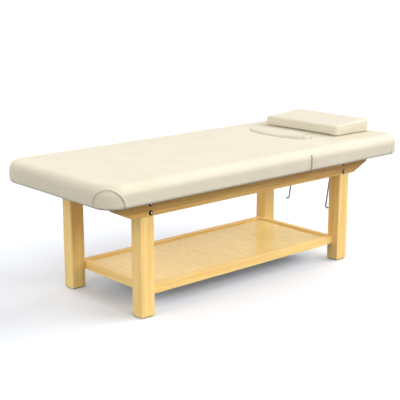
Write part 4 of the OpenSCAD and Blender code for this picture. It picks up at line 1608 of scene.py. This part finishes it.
@dataclass
class Studio:
    """The white floor, the soft lights and the camera of the photograph."""

    eye: Point = (-3.1526, -3.4466, 1.5236)
    yaw: float = 41.529
    pitch: float = 13.930
    focal: float = 975.65
    frame_side: float = 400.0
    sensor: float = 36.0
    floor_half: float = 60.0
    strength: float = 1.28
    tint: Point = (0.985, 0.992, 1.0)
    bands: tuple[Pair, ...] = ((0.49, 0.133), (0.51, 0.235), (0.62, 0.235), (0.65, 1.00), (0.77, 1.00), (0.82, 0.0))
    panels: tuple[tuple[str, Point, float, float], ...] = (
        ("near_panel", (0.0, -1.0, 0.70), 0.596, 14.0),
        ("near_wash", (0.0, -1.0, 0.36), 0.244, 45.0),
        ("near_head_wash", (0.7, -0.7, 0.57), 1.721, 45.0),
        ("near_foot_panel", (-0.7, -0.7, 0.99), 0.201, 14.0),
        ("foot_wash", (-1.0, 0.0, 0.36), 1.056, 45.0),
        ("foot_high_wash", (-1.0, 0.0, 1.19), 0.104, 45.0),
        ("far_wash", (0.0, 1.0, 0.84), 0.659, 45.0),
        ("head_wash", (1.0, 0.0, 0.84), 1.461, 45.0),
    )

    def floor(self) -> None:
        """A wide floor that reaches past the view's upper edge."""
        bm = bmesh.new()
        bmesh.ops.create_grid(bm, x_segments=4, y_segments=4, size=self.floor_half)
        made = meshed("studio_floor", bm)
        made.data.materials.append(StudioFloor("studio_white").material())
        made.visible_diffuse = False

    def sky(self) -> None:
        """A sky whose brightness changes with the height above the horizon."""
        world = bpy.data.worlds.new("studio_sky")
        world.use_nodes = True
        bpy.context.scene.world = world
        sheet = Sheet(world.node_tree)
        level = sheet.part(sheet.node("ShaderNodeTexCoord", out="Generated"), 2) * 0.5 + 0.5
        stops = [(place, tuple(bright * part for part in self.tint)) for place, bright in self.bands]
        tone = sheet.node("ShaderNodeValToRGB", {"stops": stops}, {0: level})
        light = world.node_tree.nodes["Background"]
        light.inputs["Strength"].default_value = self.strength
        world.node_tree.links.new(tone.socket, light.inputs["Color"])

    def sky_panel(self, name: str, toward: Point, power: float, spread: float) -> None:
        """A wide soft light that falls evenly over the whole floor.

        Args:
            name: its name
            toward: the direction from the table to it
            power: its strength
            spread: the angle that it fills, in degrees
        """
        light = bpy.data.lights.new(name, "SUN")
        light.energy = power
        light.angle = math.radians(spread)
        light.color = (1.0, 0.995, 0.985)
        placed(name, light).rotation_euler = Vector(toward).to_track_quat("Z", "Y").to_euler()

    def camera(self) -> None:
        """The camera at the photograph's place and angle."""
        data = bpy.data.cameras.new("photo_camera")
        data.sensor_width = self.sensor
        data.lens = self.focal * self.sensor / self.frame_side
        data.clip_end = 200.0
        made = placed("photo_camera", data)
        yaw, pitch = math.radians(self.yaw), math.radians(self.pitch)
        ahead = Vector((math.cos(pitch) * math.sin(yaw), math.cos(pitch) * math.cos(yaw), -math.sin(pitch)))
        made.location = self.eye
        made.rotation_euler = ahead.to_track_quat("-Z", "Y").to_euler()
        bpy.context.scene.camera = made

    def build(self) -> None:
        """Sets up the studio."""
        view = bpy.context.scene.view_settings
        view.view_transform = "Standard"
        view.look = "None"
        self.sky()
        self.floor()
        for panel in self.panels:
            self.sky_panel(*panel)
        self.camera()


def main() -> None:
    """Builds the studio and the table's pieces in order."""
    logging.basicConfig(level=logging.INFO, format="%(name)s: %(message)s")
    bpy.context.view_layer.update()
    Studio().build()
    top = PaddedTop()
    for sub_assembly in (top, FacePlug(), WoodBase(), CarriedNodes(), HeadPillow(top)):
        for made in sub_assembly.build():
            log.info("made %s", made.name)


if __name__ == "__main__":
    main()
